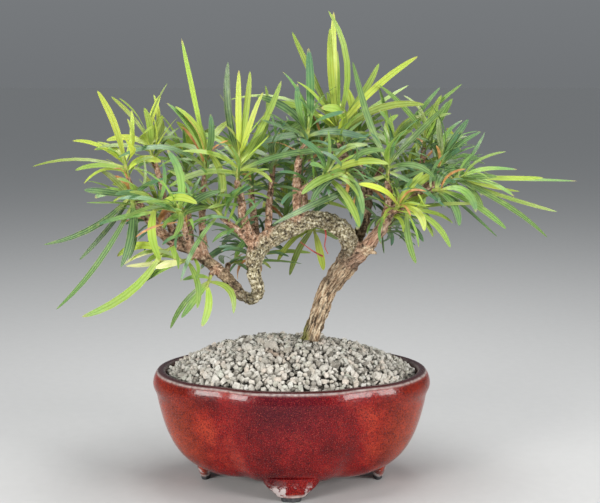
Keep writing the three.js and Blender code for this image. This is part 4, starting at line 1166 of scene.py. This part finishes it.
def extraLeaves(name, spray, seed):
    # smaller leaves all round the green stem and the end of its twig
    draw = random.Random(seed)
    base, top = stemEnds(spray)
    step = 1.5
    twigPoints = throughPoints(twigStations(spray), step)
    lower = [spot for spot, _ in twigPoints][-max(3, int(growth["below"] / step)):]
    count = growth["sparse"].get(name, growth["extra"] if spray["face"] > 0 else growth["behindExtra"])
    widest, narrowing, scatter = growth["spread"]
    low, high = growth["length"]
    run = (top - base).normalized()
    side = run.orthogonal().normalized()
    leaves = []
    for k in range(count):
        share = (k + draw.random()) / count
        line = share * (1 + growth["onStem"])
        if line < 1:
            root = lower[int(line * (len(lower) - 1))]
        else:
            root = base.lerp(top, (line - 1) / growth["onStem"])
        turn = blade["goldenAngle"] * k + draw.uniform(-growth["turnScatter"], growth["turnScatter"])
        away = turnedVector(side, run, turn)
        spread = math.radians(widest - narrowing * share + draw.uniform(-scatter, scatter))
        reach = run * math.cos(spread) + away * math.sin(spread)
        reach += Vector((0, 0, draw.uniform(*growth["rise"])))
        length = draw.uniform(low, high) * (0.75 + 0.35 * share)
        leaves.append({
            "root": root, "reach": reach.normalized() * length, "bow": draw.uniform(*growth["bow"]),
            "width": draw.uniform(*growth["width"]) * (0.8 + 0.2 * length / high),
            "facing": away * -0.45 + Vector((draw.uniform(-0.5, 0.5), -0.5 * spray["face"], 0.6)),
            "twist": draw.uniform(-growth["twist"], growth["twist"]), "along": share, "small": True})
    for root, tip, bow, width, age, dry in growth["added"].get(name, ()):
        leaves.append({
            "root": sighted(root), "reach": sighted(tip) - sighted(root), "bow": bow, "width": width,
            "facing": Vector((0.2, -0.75, 0.62)), "twist": 15, "along": 0.4, "age": age, "dry": dry})
    return leaves


def drawnOut(name, ring, rows, tip):
    # a ring in the XZ plane, extruded along Y row by row and closed at its tip
    deselect()
    bpy.ops.mesh.primitive_circle_add(
        vertices=len(ring), radius=1, fill_type="NGON", rotation=(math.pi / 2, 0, 0))
    shape = bpy.context.object
    shape.name = name
    bpy.ops.object.transform_apply(location=False, rotation=True, scale=False)
    for vertex, (across, height) in zip(shape.data.vertices, ring):
        vertex.co = (across, rows[0], height)
    bpy.ops.object.mode_set(mode="EDIT")
    for before, row in zip(rows, [*rows[1:], tip]):
        bpy.ops.mesh.extrude_region_move(TRANSFORM_OT_translate={"value": (0, row - before, 0)})
    bpy.ops.mesh.merge(type="CENTER")
    bpy.ops.mesh.select_all(action="SELECT")
    bpy.ops.mesh.normals_make_consistent(inside=False)
    bpy.ops.object.mode_set(mode="OBJECT")
    return shape


def pattern(shape):
    # a template as arrays: its corners, and its faces as index lists; the template goes
    corners = np.array([vertex.co[:] for vertex in shape.data.vertices])
    faces = [tuple(face.vertices) for face in shape.data.polygons]
    bpy.data.objects.remove(shape)
    return corners, faces


def laidBlade(leaf, template, wave):
    # the template's rows follow the blade's arc and turn with its twist
    corners, _ = template
    root, reach = leaf["root"], leaf["reach"]
    upright = abs(reach.x) <= 0.3 * abs(reach.z)
    direction = -math.copysign(1, reach.z) if upright else math.copysign(1, reach.x)
    push = (Vector((-reach.z, 0, reach.x)) * direction).normalized()
    middle = root + reach * 0.5 + push * 2 * leaf["bow"]
    tip = root + reach
    placed = np.empty_like(corners)
    for row in sorted(set(corners[:, 1].round(6))):
        centre = root * (1 - row) ** 2 + middle * 2 * row * (1 - row) + tip * row ** 2
        run = ((middle - root) * (1 - row) + (tip - middle) * row).normalized()
        face = turnedVector(leaf["facing"], run, leaf["twist"] * row)
        face = (face - run * run.dot(face)).normalized()
        across = face.cross(run)
        centre += across * wave[0] * math.sin(math.pi * row)
        centre += face * wave[1] * math.sin(math.tau * row)
        share = bladeShare(row)
        chosen = np.abs(corners[:, 1] - row) < 1e-5
        ring = corners[chosen]
        placed[chosen] = (np.array(centre) + ring[:, :1] * leaf["width"] * share * np.array(across)
                          + ring[:, 2:] * math.sqrt(share) * np.array(face))
    return placed


def laidStem(spray, template):
    base, top = stemEnds(spray)
    run = (top - base).normalized()
    base -= run * stem["sunk"]
    side = run.orthogonal().normalized()
    other = run.cross(side)
    corners, _ = template
    return (np.array(base) + corners[:, 1:2] * np.array(top - base)
            + corners[:, :1] * np.array(side) + corners[:, 2:] * np.array(other))


def stemTemplate():
    sides = stem["sides"]
    ring = [(math.cos(math.tau * k / sides), math.sin(math.tau * k / sides)) for k in range(sides)]
    shape = drawnOut("stem", ring, stem["rows"][:-1], stem["rows"][-1])
    for vertex in shape.data.vertices:
        wide = np.interp(vertex.co.y, stem["rows"], stem["widths"])
        vertex.co.x *= wide
        vertex.co.z *= wide
    return shape


def makeSpray(name, spray, number, templates):
    bladeShape, stemShape = templates
    tips = solidTips(name)
    leaves = asInSolid(chosenBlades(spray), tips) + asInSolid(fillBlades(spray, number + 1), tips)
    leaves += extraLeaves(name, spray, number + 100)
    draw = random.Random(number + 500)
    sideways, upwards = growth["wave"]
    scatter = growth["ageScatter"]
    # small leaves are a little older; on sprays that face the back they are older still, painted darker as
    # the shade inside the crown
    smallOlderAndShaded = 0.1 if spray["face"] > 0 else 0.3
    ages = growth["bladeAges"].get(name, {})
    bleached = growth["cream"].get(name, ())
    points, faces, looks, uvs = [], [], [], []
    for leaf in leaves:
        wave = (draw.uniform(-sideways, sideways), draw.uniform(-upwards, upwards))
        placed = laidBlade(leaf, bladeShape, wave)
        small = leaf.get("small", False)
        # younger towards the top of the stem
        age = spray["age"] + draw.uniform(-scatter, scatter) - 0.4 * (leaf["along"] - 0.4)
        age += smallOlderAndShaded * small
        age = leaf.get("age", ages.get(leaf.get("number"), age))
        dry = 1.0 if small and draw.random() < growth["dryShare"] else leaf.get("dry", 0.0)
        cream = 1.0 if leaf.get("number") in bleached else 0.0
        looks.append(([min(1, max(0, age)), draw.random(), dry, cream], len(placed)))
        start = len(points)
        points.extend(placed.tolist())
        faces.extend(tuple(start + n for n in face) for face in bladeShape[1])
        uvs.extend((x + 0.5, y) for x, y, _ in bladeShape[0])
    bladeFaces = len(faces)
    placed = laidStem(spray, stemShape)
    start = len(points)
    points.extend(placed.tolist())
    faces.extend(tuple(start + n for n in face) for face in stemShape[1])
    uvs.extend((0.5, y) for _, y, _ in stemShape[0])
    looks.append(([spray["age"], 0.5, 0.0, 0.0], len(placed)))
    corners = [tuple(Vector(point) * mm + potMiddle) for point in points]
    piece = meshPiece("leaves_" + name, corners, faces)
    for n, key in enumerate(("age", "chance", "dry", "cream")):
        pointAttribute(piece, key, [look[n] for look, count in looks for _ in range(count)])
    layer = piece.data.uv_layers.new(name="blade")
    flat = [uvs[loop.vertex_index] for loop in piece.data.loops]
    layer.data.foreach_set("uv", [value for corner in flat for value in corner])
    piece.data.materials.append(leafGreen)
    piece.data.materials.append(stemGreen)
    for face in piece.data.polygons[bladeFaces:]:
        face.material_index = 1
    activate(piece)
    bpy.ops.object.shade_smooth_by_angle(angle=math.radians(55))
    slot = "leaf_old" if spray["age"] > 0.7 else "leaf_mid" if spray["age"] > 0.35 else "leaf_new"
    settle(piece, "leaves_" + name, slot, "spray_" + name)
    return len(leaves)


def leafMaterial():
    n = Nodes("leaf_green")
    age = n.attribute("age")
    chance = n.attribute("chance")
    onBlade = n.add("UVMap", uv_map="blade").outputs["UV"]
    split = n.add("SeparateXYZ", {"Vector": onBlade}).outputs
    here = n.where()
    green = n.ramp(age, leafColours["ages"])
    value = n.span(chance, 0, 1, 0.42, 1.4)
    hue = n.span(n.noise(here, 45), 0.3, 0.7, 0.485, 0.515)
    green = n.add("HueSaturation", {"Color": green, "Value": value, "Hue": hue}).outputs[0]
    blotch = n.span(n.noise(here, 120, detail=4), 0.55, 0.75, 0, 0.3)
    green = n.mix(blotch, green, leafColours["blotch"])
    streak = n.stretched(onBlade, (26, 2.2, 1))
    bloom = n.span(n.noise(streak, 1, detail=4, rough=0.7), 0.48, 0.72, 0, 0.5)
    green = n.mix(n.times(bloom, n.span(age, 0.35, 0.85, 0.1, 0.9)), green, leafColours["bloom"])
    centre = n.sum("ABSOLUTE", n.sum("SUBTRACT", split["X"], 0.5), 0)
    band = n.times(n.span(centre, 0.04, 0.14, 0, 1), n.span(centre, 0.24, 0.36, 1, 0))
    green = n.mix(n.times(band, 0.3), green, leafColours["band"])
    green = n.mix(n.span(centre, 0.015, 0.06, 0.4, 0), green, leafColours["midrib"])
    green = n.mix(n.span(centre, 0.42, 0.5, 0, 0.5), green, leafColours["margin"])
    outer = n.times(n.span(split["Y"], 0.4, 0.95, 0, 1), n.span(chance, 0.3, 0.7, 0, 0.75))
    green = n.mix(n.times(outer, n.span(age, 0.2, 0.6, 0.1, 1)), green, leafColours["outer"])
    green = n.mix(n.span(split["Y"], 0.02, 0.2, 0.7, 0), green, leafColours["base"])
    tip = n.times(n.span(split["Y"], 0.93, 1, 0, 1), n.span(chance, 0.55, 0.8, 0, 0.8))
    green = n.mix(tip, green, leafColours["tip"])
    green = n.mix(n.attribute("dry"), green, n.ramp(n.noise(here, 150), leafColours["dry"]))
    bleached = n.ramp(n.noise(streak, 1, detail=3), leafColours["bleached"])
    green = n.mix(n.attribute("cream"), green, bleached)
    rough = n.span(n.noise(here, 200), 0.3, 0.7, 0.34, 0.5)
    veins = n.noise(n.stretched(onBlade, (60, 1.5, 1)), 1, detail=2)
    return n.finish(green, rough, n.bump(veins, 0.22, 0.0003), Specular_IOR_Level=0.5,
                    Subsurface_Weight=0.1, Subsurface_Radius=(0.0012, 0.0016, 0.0004), Subsurface_Scale=1.0)


def stemMaterial():
    n = Nodes("green_stem")
    here = n.where()
    tone = n.ramp(n.noise(here, 350, detail=4), leafColours["stem"])
    return n.finish(tone, 0.5, n.bump(n.noise(here, 900), 0.35, 0.0004))


leafGreen = leafMaterial()
stemGreen = stemMaterial()
bladePattern = pattern(drawnOut("blade", blade["section"], blade["rows"][:-1], blade["rows"][-1]))
stemPattern = pattern(stemTemplate())
leafCount = 0
for number, (name, spray) in enumerate(sprays.items()):
    leafCount += makeSpray(name, spray, number, (bladePattern, stemPattern))
print("sprays", len(sprays), "with", leafCount, "leaves")


# Red shoots under the arch

shoots = {
    "thick": 0.75, "start": 1.15, "taper": 0.75,
    "lines": [[(30, -8, 236), (31, -13, 226), (30, -15, 217), (33, -16, 210)],
              [(28, -5, 208), (19, -12, 213), (8, -16, 221)]],
    "red": [(0.3, (0.22, 0.02, 0.02)), (0.7, (0.45, 0.08, 0.06))],
}


def makeShoots():
    lines = []
    for stations in shoots["lines"]:
        points = throughPoints([(*station, shoots["thick"]) for station in stations], 2)
        lines.append([(spot, thick * (shoots["start"] - shoots["taper"] * n / len(points)))
                      for n, (spot, thick) in enumerate(points)])
    made = roundBars(lines, 2)
    made.data.transform(Matrix.Translation(potMiddle))
    made.data.materials.clear()
    made.data.materials.append(shootMaterial())
    bpy.ops.object.shade_smooth()
    return made


def shootMaterial():
    n = Nodes("red_shoot")
    here = n.where()
    tone = n.ramp(n.noise(here, 260, detail=3), shoots["red"])
    return n.finish(tone, 0.45, n.bump(n.noise(here, 900), 0.3, 0.0003))


settle(makeShoots(), "red_shoots", "bark")


# Floor, light and camera

studio = {
    "floorReach": 80, "paper": (0.5, 0.5, 0.495), "paperGrain": 1.03,
    "sky": (0.9, 0.95, 1.0), "skyLow": 0.185, "skyHigh": 0.35, "skyTop": 0.6,
    # place from the pot's middle in metres, width, height, power, warmth
    "lamps": {
        "key_left": ((-0.95, -1.0, 0.45), 0.5, 0.4, 18, (1, 0.98, 0.95)),
        "key_right": ((1.1, -0.75, 0.43), 0.5, 0.4, 15, (1, 0.98, 0.96)),
        "top": ((0.1, 0.05, 1.55), 0.8, 0.6, 18, (1, 1, 1)),
    },
    "aim": (0, 0, 0.2),
    "cameraPitch": 8.97, "lens": 66,
}


def floorMaterial():
    n = Nodes("pale_paper")
    here = n.where()
    grain = n.span(n.noise(here, 90, detail=5), 0.3, 0.7, 0, 1)
    pale = studio["paper"]
    tone = n.mix(grain, pale, tuple(value * studio["paperGrain"] for value in pale))
    return n.finish(tone, 0.9, n.bump(grain, 0.03, 0.0005))


def softSky():
    # evenly lit all round, a little brighter overhead
    world = bpy.data.worlds.new("soft_studio")
    world.use_nodes = True
    tree = world.node_tree
    where = tree.nodes.new("ShaderNodeTexCoord").outputs["Generated"]
    split = tree.nodes.new("ShaderNodeSeparateXYZ")
    height = tree.nodes.new("ShaderNodeMapRange")
    height.inputs["From Max"].default_value = studio["skyTop"]
    height.inputs["To Min"].default_value = studio["skyLow"]
    height.inputs["To Max"].default_value = studio["skyHigh"]
    back = tree.nodes["Background"]
    tree.links.new(where, split.inputs["Vector"])
    tree.links.new(split.outputs["Z"], height.inputs["Value"])
    tree.links.new(height.outputs["Result"], back.inputs["Strength"])
    back.inputs["Color"].default_value = (*studio["sky"], 1)
    return world


def makeStudio():
    deselect()
    bpy.ops.mesh.primitive_plane_add(size=studio["floorReach"], location=(potMiddle.x, potMiddle.y, 0))
    floor = bpy.context.object
    floor.name = "floor"
    floor.data.materials.append(floorMaterial())
    bpy.context.scene.world = softSky()
    bpy.context.scene.view_settings.view_transform = "Standard"
    for name, (where, wide, high, power, colour) in studio["lamps"].items():
        spot = potMiddle + Vector(where)
        bpy.ops.object.light_add(type="AREA", location=spot)
        lamp = bpy.context.object
        lamp.name = name
        lamp.rotation_euler = (potMiddle + Vector(studio["aim"]) - spot).to_track_quat("-Z", "Y").to_euler()
        lamp.data.shape = "RECTANGLE"
        lamp.data.size = wide
        lamp.data.size_y = high
        lamp.data.energy = power
        lamp.data.color = colour
    bpy.ops.object.camera_add(location=potMiddle + Vector(eye) * mm)
    camera = bpy.context.object
    camera.rotation_euler = (math.radians(90 - studio["cameraPitch"]), 0, 0)
    camera.data.lens = studio["lens"]
    camera.data.sensor_width = 36
    bpy.context.scene.camera = camera


makeStudio()
print("studio ready")
